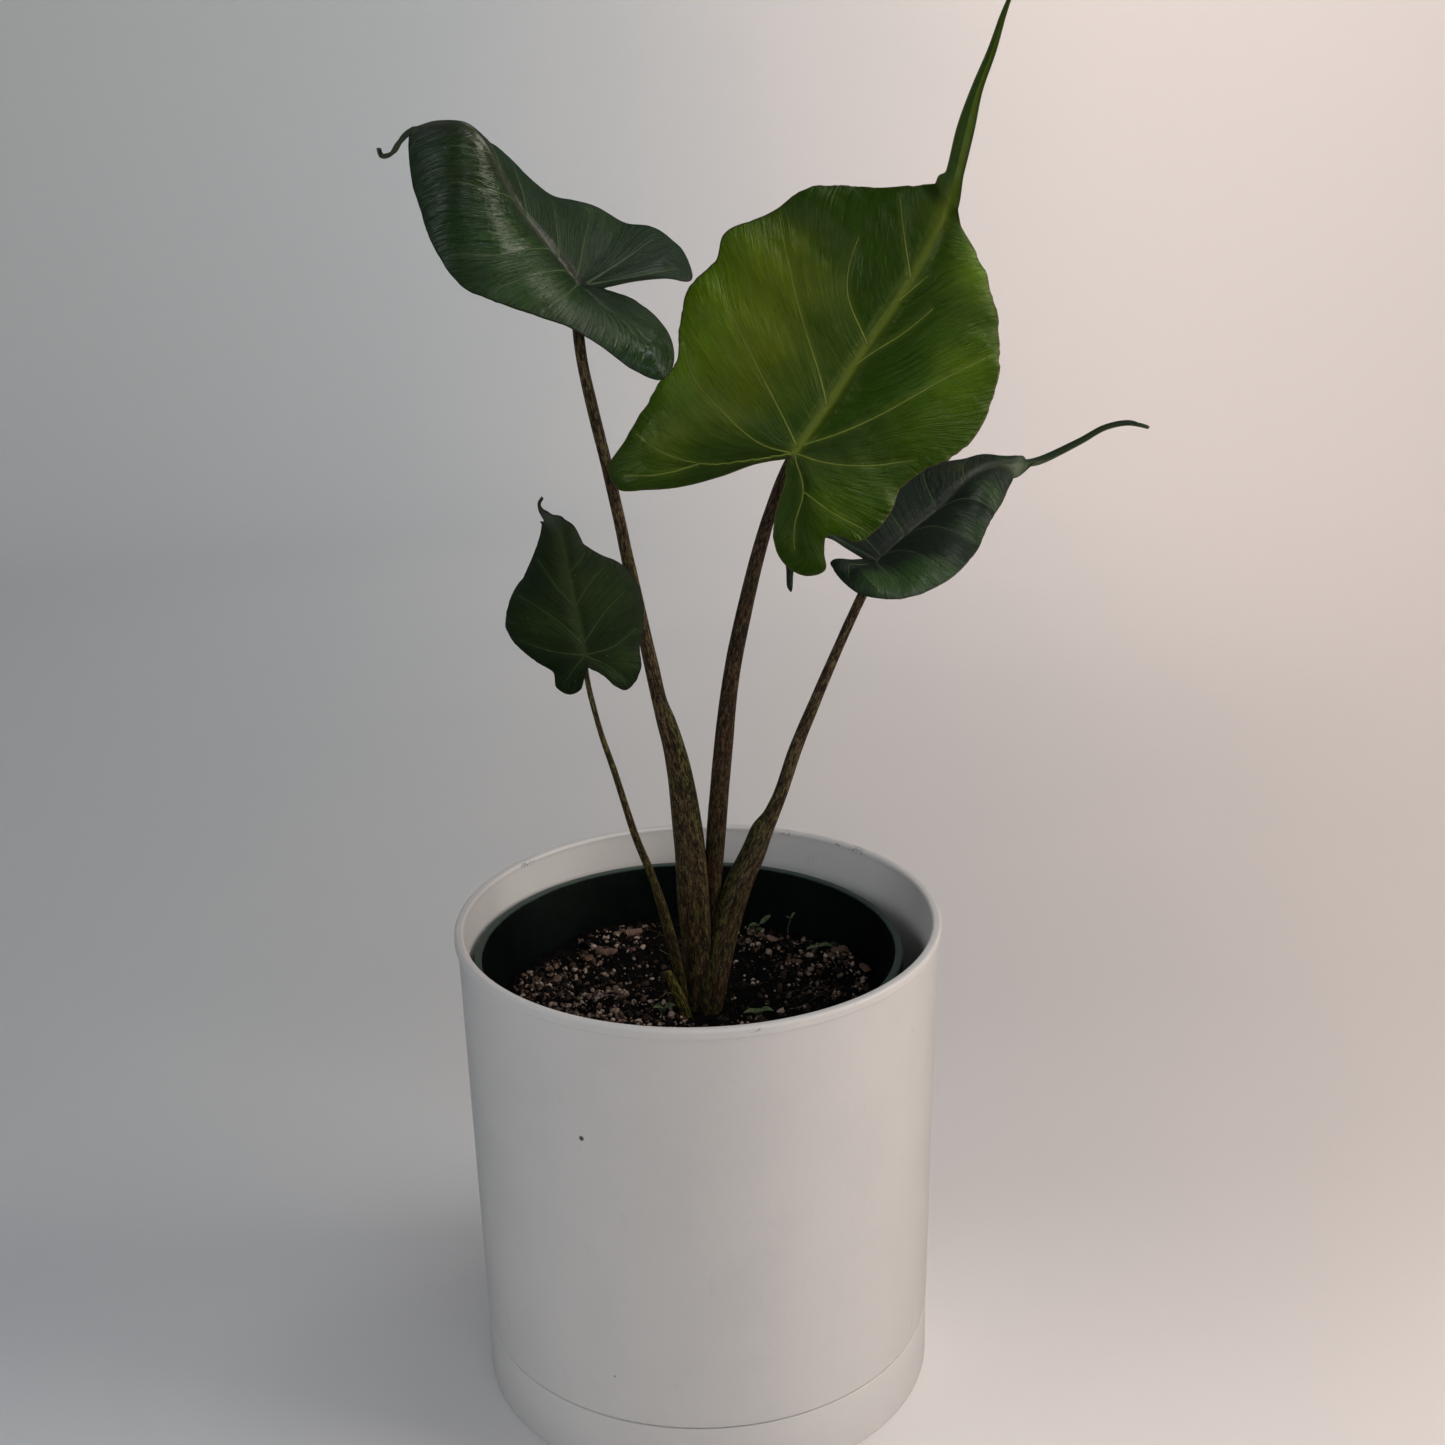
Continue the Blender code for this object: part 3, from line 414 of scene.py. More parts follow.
def settled(values: np.ndarray, fixed: np.ndarray, points: np.ndarray, edges: np.ndarray, rounds: int = 260
            ) -> np.ndarray:
    """Spread values over a net so that each free one is its neighbours' mean, by conjugate gradients.

    Each neighbour counts by 1 / (its distance squared), so that no free value is a peak or a pit.

    Args:
        values: One for each point: the fixed ones, and a guess for the others.
        fixed: Which values stay.
        points: Their places.
        edges: Pairs of neighbours, one row each.
        rounds: Steps of the solver.

    Returns:
        The values.
    """
    a, b = edges.T
    count = len(values)
    weight = 1 / (((points[a] - points[b]) ** 2).sum(axis=1) + 1e-3)
    total = np.bincount(a, weight, count) + np.bincount(b, weight, count) + 1e-9

    def uneven(level: np.ndarray) -> np.ndarray:
        """The weighted sum of each free value's differences from its neighbours."""
        around = np.bincount(a, weight * level[b], count) + np.bincount(b, weight * level[a], count)
        return np.where(fixed, 0.0, total * level - around)

    level, rest = values.copy(), -uneven(values)
    way = rest / total
    size = rest @ way
    for _ in range(rounds):
        change = uneven(way)
        length = size / max(way @ change, 1e-30)
        level += length * way
        rest -= length * change
        before, size = size, rest @ (rest / total)
        way = rest / total + size / max(before, 1e-30) * way
    return level


def vertex_normals(points: np.ndarray, triangles: np.ndarray) -> np.ndarray:
    """Each point's unit normal, as the sum of its triangles' normals weighted by area."""
    a, b, c = (points[triangles[:, k]] for k in range(3))
    flat = np.cross(b - a, c - a)
    normals = np.zeros_like(points)
    for k in range(3):
        np.add.at(normals, triangles[:, k], flat)
    return unit(normals)


def outward(points: np.ndarray, triangles: np.ndarray) -> np.ndarray:
    """A closed mesh's triangles, turned round where its signed volume is negative."""
    a, b, c = (points[triangles[:, k]] for k in range(3))
    volume = np.einsum("ij,ij->i", a, np.cross(b, c)).sum()
    return triangles if volume > 0 else triangles[:, ::-1]


def skin(front: np.ndarray, back: np.ndarray, triangles: np.ndarray) -> tuple[np.ndarray, np.ndarray]:
    """Close a sheet: its front, its back turned round, and a rim along every open edge.

    Args:
        front: The front's points.
        back: The back's points, in the same order.
        triangles: The front's triangles.

    Returns:
        All points, the front's first, and the closed mesh's triangles.
    """
    count = len(front)
    edges = triangles[:, [0, 1, 1, 2, 2, 0]].reshape(-1, 2)
    low, high = edges.min(axis=1), edges.max(axis=1)
    _, where, times = np.unique(low * count + high, return_inverse=True, return_counts=True)
    a, b = edges[times[where.reshape(-1)] == 1].T
    rim = np.concatenate([np.stack([b, a, a + count], axis=1), np.stack([b, a + count, b + count], axis=1)])
    points = np.concatenate([front, back])
    return points, np.concatenate([triangles, triangles[:, ::-1] + count, rim])


def add_piece(name: str, points: np.ndarray, faces: np.ndarray, material: bpy.types.Material,
              fields: dict[str, np.ndarray] | None = None, sharp: float | None = None) -> bpy.types.Object:
    """Make a piece of the object, at the origin, with its place in its mesh.

    Args:
        name: The piece's name.
        points: Its points in millimetres.
        faces: Faces with the same number of corners each.
        material: Its finish.
        fields: Numbers or vectors held for each point.
        sharp: Edges that turn by more than this angle, in degrees, stay sharp.

    Returns:
        The object.
    """
    mesh = bpy.data.meshes.new(name)
    mesh.vertices.add(len(points))
    mesh.vertices.foreach_set("co", (points * MM).astype(np.float32).ravel())
    mesh.loops.add(faces.size)
    mesh.loops.foreach_set("vertex_index", faces.astype(np.int32).ravel())
    mesh.polygons.add(len(faces))
    starts = np.arange(len(faces), dtype=np.int32) * faces.shape[1]
    mesh.polygons.foreach_set("loop_start", starts)
    mesh.update(calc_edges=True)
    mesh.shade_smooth()
    if sharp:
        mesh.set_sharp_from_angle(angle=math.radians(sharp))
    for key, values in (fields or {}).items():
        kind, entry = ("FLOAT", "value") if values.ndim == 1 else ("FLOAT_VECTOR", "vector")
        layer = mesh.attributes.new(key, kind, "POINT")
        layer.data.foreach_set(entry, values.astype(np.float32).ravel())
    mesh.materials.append(material)
    piece = bpy.data.objects.new(name, mesh)
    bpy.context.scene.collection.objects.link(piece)
    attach(piece, BODY)
    log.info("%s: %d points, %d faces", name, len(points), len(faces))
    return piece


def arc(centre: Pair, radius: float, start: float, end: float, steps: int = 8) -> list[Pair]:
    """Profile points on an arc, from start to end in degrees."""
    angles = np.radians(np.linspace(start, end, steps + 1))
    return [(centre[0] + radius * math.cos(a), centre[1] + radius * math.sin(a)) for a in angles]


def ring_points(radius: np.ndarray, height: np.ndarray, steps: int) -> np.ndarray:
    """Points (r cos t, r sin t, z) for each radius and height, ring by ring."""
    angle = full_turn(steps)
    level = [radius[:, None] * np.cos(angle), radius[:, None] * np.sin(angle)]
    return np.stack([*level, np.repeat(height[:, None], steps, axis=1)], axis=2).reshape(-1, 3)


def turned(profile: list[Pair], centre: Pair, steps: int) -> tuple[np.ndarray, np.ndarray]:
    """Turn a profile of (radius, z) round an upright axis: x is r cos t, and y is r sin t.

    Args:
        profile: Points from axis to axis.
        centre: The axis's place.
        steps: Points round the turn.

    Returns:
        The points and the triangles, facing outwards.
    """
    radius, height = np.asarray(profile, float).T
    points = ring_points(radius, height, steps) + (*centre, 0.0)
    points, triangles = welded(points, grid_faces(len(radius), steps, True))
    return points, outward(points, triangles)


def tube(centre: np.ndarray, radius: np.ndarray, sides: int) -> tuple[np.ndarray, np.ndarray]:
    """A round tube along a path, closed to a point at each end.

    Args:
        centre: The path's points.
        radius: Its radius at each point.
        sides: Points round each ring.

    Returns:
        The points and the triangles, facing outwards.
    """
    off_axis = (0.3, 0.2, 0.93)
    along = unit(np.gradient(centre, axis=0))
    level = unit(np.cross(along, off_axis))
    upright = np.cross(along, level)
    angle = full_turn(sides)
    radius = np.concatenate([[0.0], radius[1:-1], [0.0]])[:, None, None]
    ring = np.cos(angle)[None, :, None] * level[:, None] + np.sin(angle)[None, :, None] * upright[:, None]
    points = (centre[:, None] + radius * ring).reshape(-1, 3)
    points, triangles = welded(points, grid_faces(len(centre), sides, True))
    return points, outward(points, triangles)


def merged(parts: list[tuple[np.ndarray, ...]]) -> list[np.ndarray]:
    """Join meshes into one.

    Args:
        parts: For each mesh its points, its triangles and its fields.

    Returns:
        The points, the triangles and the fields of them all.
    """
    offset = np.cumsum([0] + [len(part[0]) for part in parts[:-1]])
    joined = [np.concatenate([part[0] for part in parts])]
    joined.append(np.concatenate([part[1] + start for part, start in zip(parts, offset)]))
    for k in range(2, len(parts[0])):
        joined.append(np.concatenate([part[k] for part in parts]))
    return joined


# Finishes

@dataclass(frozen=True)
class PlanterFinish:
    """White satin plastic with faint clouding, a few specks and scuffs along the lip."""
    colour: Colour = (0.72, 0.705, 0.69)
    cloud: Colour = (0.67, 0.66, 0.65)
    dirt: Colour = (0.07, 0.06, 0.05)
    roughness: float = 0.42
    specks: tuple = ()

    def material(self, name: str) -> bpy.types.Material:
        """Build the finish."""
        tree = Tree(name)
        place = tree.place()
        cloud = tree.noise(place, 0.035, 4.0)
        fine = tree.noise(place, 0.9, 3.0)
        colour = tree.mix(cloud.rise(0.35, 0.75) * 0.6, self.colour, self.cloud)
        smear = tree.noise(tree.stretched(place, (1.0, 1.0, 0.35)), 0.11, 5.0, 0.7)
        colour = tree.mix(smear.rise(0.62, 0.80) * 0.10, colour, self.dirt)
        grit = tree.cells(place, 0.16).rise(0.055, 0.02)
        colour = tree.mix(grit * tree.noise(place, 0.02).rise(0.5, 0.62) * 0.3, colour, self.dirt)
        broken = tree.noise(place, 0.9, 4.0, 0.7).rise(0.50, 0.58)
        for centre, radius, strength, squash in self.specks:
            mark = tree.spot(centre, radius, squash) * strength
            colour = tree.mix(mark if squash == 1.0 else mark * broken, colour, self.dirt)
        rough = self.roughness + (fine - 0.5) * 0.10 + smear.rise(0.55, 0.8) * 0.12
        tree.bump(tree.noise(place, 0.25, 4.0), 0.10)
        tree.bump(tree.noise(place, 2.2, 2.0), 0.02)
        return tree.finish(colour, Roughness=rough, Coat_Weight=0.12, Coat_Roughness=0.3)


@dataclass(frozen=True)
class GrowerPotFinish:
    """Thin dark green plastic with a faint dusty film, and a pale line along the top of its rim that is a
    painted highlight.
    """
    rim_z: float
    colour: Colour = (0.0010, 0.0034, 0.0025)
    cloudy: Colour = (0.0035, 0.0095, 0.0072)
    # edge: the colour of the painted highlight along the top of the rim
    edge: Colour = (0.055, 0.078, 0.066)
    dust: Colour = (0.06, 0.05, 0.04)

    def material(self, name: str) -> bpy.types.Material:
        """Build the finish."""
        tree = Tree(name)
        place = tree.place()
        height = tree.axes(place)[2]
        cloud = tree.noise(place, 0.09, 4.0)
        colour = tree.mix(cloud.rise(0.4, 0.8) * 0.5, self.colour, self.cloudy)
        # Painted highlight: the top of the rim turns to the pale edge colour.
        colour = tree.mix((height + cloud * 1.2).rise(self.rim_z - 0.5, self.rim_z + 0.6), colour, self.edge)
        film = tree.noise(tree.stretched(place, (1.0, 1.0, 0.3)), 0.35, 5.0, 0.7).rise(0.56, 0.8)
        colour = tree.mix(film * 0.08, colour, self.dust)
        tree.bump(tree.noise(place, 0.5, 4.0), 0.10)
        return tree.finish(colour, Roughness=0.45 + film * 0.3, Specular_IOR_Level=0.12)


@dataclass(frozen=True)
class PeatFinish:
    """Near-black wet peat with brown crumbs."""
    dark: Colour = (0.0014, 0.0010, 0.0009)
    brown: Colour = (0.0065, 0.0040, 0.0028)
    crumb: Colour = (0.045, 0.030, 0.022)

    def material(self, name: str) -> bpy.types.Material:
        """Build the finish."""
        tree = Tree(name)
        place = tree.place()
        colour = tree.mix(tree.noise(place, 0.18, 6.0, 0.7).rise(0.42, 0.68), self.dark, self.brown)
        crumbs = tree.cells(place, 0.55).rise(0.32, 0.14) * tree.noise(place, 0.12, 3.0).rise(0.48, 0.66)
        colour = tree.mix(crumbs * 0.7, colour, self.crumb)
        tree.bump(tree.noise(place, 0.9, 6.0, 0.75), 0.9)
        return tree.finish(colour, Roughness=0.75 - crumbs * 0.1 + tree.noise(place, 0.3) * 0.25,
                           Specular_IOR_Level=0.12)


@dataclass(frozen=True)
class CrumbFinish:
    """Granules and fibres whose tone runs from dark to light with the field called tone."""
    dark: Colour
    middle: Colour
    light: Colour
    roughness: float = 0.8

    def material(self, name: str) -> bpy.types.Material:
        """Build the finish."""
        tree = Tree(name)
        place = tree.place()
        tone = tree.level("tone") + (tree.noise(place, 1.6, 4.0, 0.7) - 0.5) * 0.5
        stops = [(0.0, self.dark), (0.5, self.middle), (1.0, self.light)]
        colour = tree.node("ShaderNodeValToRGB", {"stops": stops}, {0: tone.held()})
        tree.bump(tree.noise(place, 2.4, 4.0, 0.7), 0.30)
        return tree.finish(colour, Roughness=self.roughness + tree.noise(place, 0.8) * 0.15,
                           Specular_IOR_Level=0.2)


@dataclass(frozen=True)
class StalkFinish:
    """A stalk mottled with short dark dashes along its length, over a tan to olive ground, with painted shade
    towards its foot.
    """
    ground: Colour = (0.150, 0.105, 0.048)
    olive: Colour = (0.110, 0.100, 0.026)
    dash: Colour = (0.011, 0.007, 0.004)
    blush: Colour = (0.062, 0.028, 0.015)
    sheath: Colour = (0.170, 0.165, 0.036)
    # the colour that the stalk darkens to towards its foot, as painted shade
    damp: Colour = (0.012, 0.008, 0.004)
    sheath_low: float = 100.0
    sheath_high: float = 140.0
    foot_z: float = 150.0

    def material(self, name: str) -> bpy.types.Material:
        """Build the finish."""
        tree = Tree(name)
        straight = tree.flow("straight")
        height = tree.axes(tree.place())[2]
        patch = tree.noise(tree.stretched(straight, (1.0, 1.0, 0.3)), 0.22, 3.0)
        wing = tree.level("wing") * (height + patch * 20).rise(self.sheath_low + 10, self.sheath_high + 10)
        colour = tree.mix(patch.rise(0.38, 0.66), self.ground, self.olive)
        colour = tree.mix(wing * 0.8, colour, self.sheath)
        ruddy = tree.noise(tree.stretched(straight, (1.0, 1.0, 0.22)), 0.8, 3.0, 0.6).rise(0.42, 0.60)
        colour = tree.mix(ruddy * (1 - wing * 0.6) * 0.8, colour, self.blush)
        dashes = tree.noise(tree.stretched(straight, (1.0, 1.0, 0.20)), 1.7, 2.0, 0.5, 0.2).rise(0.48, 0.54)
        fine = tree.noise(tree.stretched(straight, (1.0, 1.0, 0.28)), 3.0, 2.0, 0.5).rise(0.52, 0.58)
        dark = dashes.math("MAXIMUM", dashes * 0.9, fine * 0.8)
        colour = tree.mix(dark, colour, self.dash)
        # Painted shade: the stalk darkens towards its foot, from 110 mm above foot_z down to 20 mm above it.
        damp = (height + patch * 30).rise(self.foot_z + 110, self.foot_z + 20)
        colour = tree.mix(damp * 0.25, colour, self.damp)
        tree.bump(tree.noise(tree.stretched(straight, (1.0, 1.0, 0.05)), 1.3, 3.0), 0.22)
        tree.bump(fine, 0.04)
        return tree.finish(colour, Roughness=0.44 + dark * 0.12, Specular_IOR_Level=0.2)


@dataclass(frozen=True)
class VeinFinish:
    """A fine pale vein, a little uneven in tone."""
    colour: Colour

    def material(self, name: str) -> bpy.types.Material:
        """Build the finish."""
        tree = Tree(name)
        tone = tree.noise(tree.place(), 0.16, 4.0)
        return tree.finish(tree.shaded(self.colour, 0.55 + tone * 0.8), Roughness=0.42 + tone * 0.1,
                           Specular_IOR_Level=0.3)


@dataclass(frozen=True)
class LeafFinish:
    """A glossy blade: two greens that drift into each other, lighter and darker in spots that are partly the
    blade's own tone and partly painted light shining through it and painted shade, warmer patches, a dull
    band by the midrib, fine wrinkles that run out to the margin and are also painted into the colour as
    painted shade and light, a thin dark margin and a duller, paler underside.
    """
    deep: Colour
    fresh: Colour
    warm: Colour
    vein: Colour
    band: Colour
    margin: Colour
    under: Colour
    tail: Colour
    tail_dark: Colour
    dot: Colour = (0.16, 0.18, 0.09)
    vein_share: float = 0.7
    band_reach: float = 9.0
    band_share: float = 0.5
    roughness: float = 0.34
    wrinkle: float = 0.40
    speckle: float = 0.0
    shine: float = 0.35
    blotch: float = 0.8
    # how strongly the wrinkle noise darkens and lightens the colour: own striation with painted shade and
    # light
    grain: float = 1.0
    tint: Colour = (1.0, 1.0, 1.0)

    def material(self, name: str) -> bpy.types.Material:
        """Build the finish."""
        tree = Tree(name)
        place, flow = tree.place(), tree.flow("flow")
        vein, middle, rim = tree.level("vein"), tree.level("middle"), tree.level("rim")
        bright, back, tail = tree.level("bright"), tree.level("back"), tree.level("tail")
        drift = tree.noise(place, 0.055, 5.0, 0.62)
        # The bright field and the drift move the green between deep and fresh: partly the blade's own tone,
        # partly painted light shining through the blade, and painted shade where a spot is negative.
        colour = tree.mix((bright + (drift - 0.5) * self.blotch).rise(0.05, 0.95), self.deep, self.fresh)
        warm = tree.level("warm") + (tree.noise(place, 0.09, 5.0, 0.65) - 0.5) * self.blotch
        colour = tree.mix(warm.rise(0.15, 0.95), colour, self.warm)
        streak = tree.noise(tree.stretched(flow, (1.0, 0.14, 1.0)), 0.52, 3.0, 0.6, 0.4)
        fibre = tree.noise(tree.stretched(flow, (1.0, 0.12, 1.0)), 1.6, 3.0, 0.6, 0.3)
        # The wrinkle noise that is bumped below also darkens and lightens the colour: partly the blade's own
        # fine striation, partly painted shade and light along the furrows.
        colour = tree.shaded(colour, 1 + ((streak - 0.5) * 1.2 + (fibre - 0.5) * 1.5) * self.grain)
        band = middle.rise(self.band_reach, 0.5) * (1 - tail) * (0.55 + drift * 0.7)
        colour = tree.mix(band * self.band_share, colour, self.band)
        if self.speckle:
            dots = tree.cells(place, 0.42).rise(0.10, 0.05) * tree.noise(place, 0.07).rise(0.5, 0.6)
            colour = tree.mix(dots * self.speckle, colour, self.dot)
        stripe = tree.axes(flow)[2].rise(12.0, -12.0) * rim.rise(0.2, 1.4)
        colour = tree.mix(tail * 0.9, colour, tree.mix(stripe, self.tail_dark, self.tail))
        colour = tree.mix(vein * self.vein_share * (0.75 + streak * 0.5), colour, self.vein)
        edge = rim.rise(0.8, 0.3) * (1 - tail * 0.5)
        colour = tree.mix(edge * 0.75, colour, self.margin)
        pale = tree.mix(vein * 0.6, tree.shaded(self.under, 0.8 + streak * 0.4), self.vein)
        colour = tree.mix(back, colour, pale)
        calm = (1 - vein * 0.8) * middle.rise(0.5, 4.0) * (1 - tail * 0.7)
        tree.bump((streak * 0.8 + fibre * 0.2) * calm, self.wrinkle)
        tree.bump(tree.noise(place, 0.35, 3.0), 0.25)
        gloss = (tree.level("gloss") * (0.75 + drift * 0.5)).held() * (1 - back)
        rough = self.roughness * (1 - gloss * 0.5) + (streak - 0.5) * 0.12 + (drift - 0.5) * 0.08
        return tree.finish(colour, Roughness=rough, Specular_IOR_Level=self.shine, Specular_Tint=self.tint)


@dataclass(frozen=True)
class WeedFinish:
    """A soft pale green weed leaf."""
    colour: Colour = (0.035, 0.068, 0.018)
    pale: Colour = (0.12, 0.16, 0.07)

    def material(self, name: str) -> bpy.types.Material:
        """Build the finish."""
        tree = Tree(name)
        place = tree.place()
        tone = tree.noise(place, 0.35, 4.0)
        colour = tree.mix(tone.rise(0.35, 0.7), self.colour, self.pale)
        tree.bump(tree.noise(place, 1.8, 3.0), 0.12)
        return tree.finish(colour, Roughness=0.5 + tone * 0.15)


@dataclass(frozen=True)
class BackdropFinish:
    """Pale seamless paper with painted light: cooler and darker on the left, warmer and lighter on the
    right.

    It is painted lightest in front of the object, darker behind it, and a little darker still far up the
    wall, as painted light and shade.
    """
    # the paper's colour under painted light: cool and dim on the left, warm and bright on the right
    left: Colour = (0.56, 0.59, 0.61)
    right: Colour = (0.86, 0.775, 0.735)

    def material(self, name: str) -> bpy.types.Material:
        """Build the finish."""
        tree = Tree(name)
        place = tree.place()
        across, away, _ = tree.axes(place)
        across = across + (tree.noise(place, 0.0022, 2.0) - 0.5) * 300
        # Painted light: the paper turns warmer and brighter towards the right.
        colour = tree.mix(across.rise(-420.0, 560.0), self.left, self.right)
        # Painted light and shade: brightest in front of the object, darker behind it and far up the wall.
        level = 0.97 + away.rise(350.0, -200.0) * 0.38 - away.rise(900.0, 1900.0) * 0.06
        return tree.finish(tree.shaded(colour, level), Roughness=0.9)


# Planter and grower's pot

@dataclass
class Planter:
    """The white planter and its saucer, turned round the upright axis."""
    lip_radius: float = 93.0
    wall_top_radius: float = 91.8
    wall_foot_radius: float = 89.3
    height: float = 192.0
    lip_height: float = 4.0
    lip_round: float = 1.2
    lip_step: float = 1.0
    lip_under: float = 0.8
    lip_fillet: float = 0.35
    wall: float = 3.0
    floor_fillet: float = 4.0
    seam_z: float = 25.0
    seam_gap: float = 0.5
    floor: float = 3.0
    edge: float = 0.5
    spigot: tuple = (84.6, 81.6)
    saucer_wall: float = 3.4
    saucer_floor: float = 3.0
    saucer_fillet: float = 1.0
    saucer_round: float = 0.8
    turn_steps: int = 256
    specks: tuple = (((-41.7, -80.5, 143.9), 1.35, 0.97, 1.0), ((-26.8, -87.0, 187.0), 0.8, 0.6, 1.0),
                     ((77.5, -47.7, 166.0), 0.7, 0.6, 1.0), ((-33.6, -82.8, 44.5), 0.7, 0.55, 1.0),
                     ((38.0, 84.0, 191.0), 5.0, 0.75, 4.0), ((59.0, 70.5, 191.0), 4.0, 0.85, 4.0),
                     ((66.5, 63.0, 191.0), 5.5, 0.8, 4.0), ((-71.0, 56.0, 191.0), 5.0, 0.7, 4.0),
                     ((47.0, 75.5, 182.0), 4.0, 0.18, 2.0), ((20.0, -90.0, 190.5), 4.0, 0.45, 4.0))

    def walls(self) -> list[Pair]:
        """The planter's profile: floor, inner wall, rolled lip, outer wall, foot and spigot."""
        lip_low = self.height - self.lip_height
        inner_top = self.lip_radius - self.lip_round * 3
        inner_foot = self.wall_foot_radius - self.wall
        floor = self.seam_z + self.floor
        crest = self.height - self.lip_round
        foot = self.seam_z + self.seam_gap
        bend, under, fillet = self.floor_fillet, self.lip_under, self.lip_fillet
        profile = [(0, floor), (inner_foot - bend, floor)]
        profile += arc((inner_foot - bend, floor + bend), bend, -90, 0)[1:]
        profile += [(self.wall_top_radius - self.wall, lip_low - self.lip_step), (inner_top, lip_low + 0.6)]
        profile += arc((inner_top + self.lip_round, crest), self.lip_round, 180, 90)
        profile += arc((self.lip_radius - self.lip_round, crest), self.lip_round, 90, 0)
        profile += arc((self.lip_radius - under, lip_low + under), under, 0, -90, 5)
        profile += arc((self.wall_top_radius + fillet, lip_low - fillet), fillet, 90, 180, 3)
        profile += arc((self.wall_foot_radius - self.edge, foot + self.edge), self.edge, 0, -90, 5)
        profile += [(self.spigot[0], foot), (self.spigot[0], self.saucer_floor + self.seam_gap)]
        profile += [(self.spigot[1], self.saucer_floor + self.seam_gap), (self.spigot[1], self.seam_z)]
        return profile + [(0, self.seam_z)]

    def dish(self) -> list[Pair]:
        """The saucer's profile: floor, inner wall, rounded brim, outer wall and flat underside."""
        inner = self.wall_foot_radius - self.saucer_wall
        outer = self.wall_foot_radius
        bend = self.saucer_fillet
        profile = [(0, self.saucer_floor), (inner - bend, self.saucer_floor)]
        profile += arc((inner - bend, self.saucer_floor + bend), bend, -90, 0, 4)[1:]
        profile += arc((inner + self.edge, self.seam_z - self.edge), self.edge, 180, 90, 4)
        profile += arc((outer - self.edge, self.seam_z - self.edge), self.edge, 90, 0, 5)
        profile += arc((outer - self.saucer_round, self.saucer_round), self.saucer_round, 0, -90, 6)
        return profile + [(0, 0)]

    def build(self) -> None:
        """Make the planter and the saucer in place of their nodes."""
        material = PlanterFinish(specks=self.specks).material("white_satin_plastic")
        for name, node, profile in (("planter_shell", "planter", self.walls()),
                                    ("saucer_shell", "saucer", self.dish())):
            points, triangles = turned(profile, (0.0, 0.0), self.turn_steps)
            piece = add_piece(name, points, triangles, material, sharp=SHARP_ANGLE)
            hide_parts(node)


@dataclass
class GrowerPot:
    """The dark green pot: a thin tapered wall, a rolled rim band and a flat floor."""
    centre: Pair = (-3.9, 0.9)
    rim_radius: float = 82.5
    rim_wall: float = 3.0
    rim_drop: float = 9.0
    rim_z: float = 178.6
    floor_z: float = 28.3
    foot_radius: float = 59.6
    knee: float = 3.0
    wall: float = 1.4
    inner_round: float = 0.7
    outer_round: float = 0.9
    band_round: float = 0.6
    turn_steps: int = 240

    def inner(self, height: float) -> float:
        """The radius inside the pot at a height."""
        share = (height - self.floor_z) / (self.rim_z - self.floor_z)
        foot = self.foot_radius - self.wall
        return foot + share * (self.rim_radius - self.rim_wall - foot)

    def build(self) -> None:
        """Make the pot in place of its node."""
        floor, top, wall = self.floor_z, self.rim_z, self.wall
        knee, band = floor + self.knee, top - self.rim_drop
        lip = (self.rim_radius - self.inner(top)) / 2
        profile = [(0, floor + wall), (self.inner(floor) - self.knee, floor + wall)]
        profile += [(self.inner(z), z + wall) for z in np.linspace(knee, band, 12)]
        inside, outside, under = self.inner_round, self.outer_round, self.band_round
        profile += arc((self.inner(top) + inside, top - inside), inside, 180, 90, 5)
        profile += arc((self.rim_radius - outside, top - outside), outside, 90, 0, 5)
        profile += arc((self.rim_radius - under, band + under), under, 0, -90, 4)
        profile += [(self.inner(band) + wall, band - lip / 2)]
        profile += [(self.inner(z) + wall, z) for z in np.linspace(band - 6, knee, 12)]
        profile += [(self.inner(floor) - 1, floor), (0, floor)]
        points, triangles = turned(profile, self.centre, self.turn_steps)
        material = GrowerPotFinish(self.rim_z).material("dark_green_plastic")
        piece = add_piece("grower_pot_shell", points, triangles, material,
                          sharp=SHARP_ANGLE)
        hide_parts("nursery_pot")


# Peat, granules and fibres

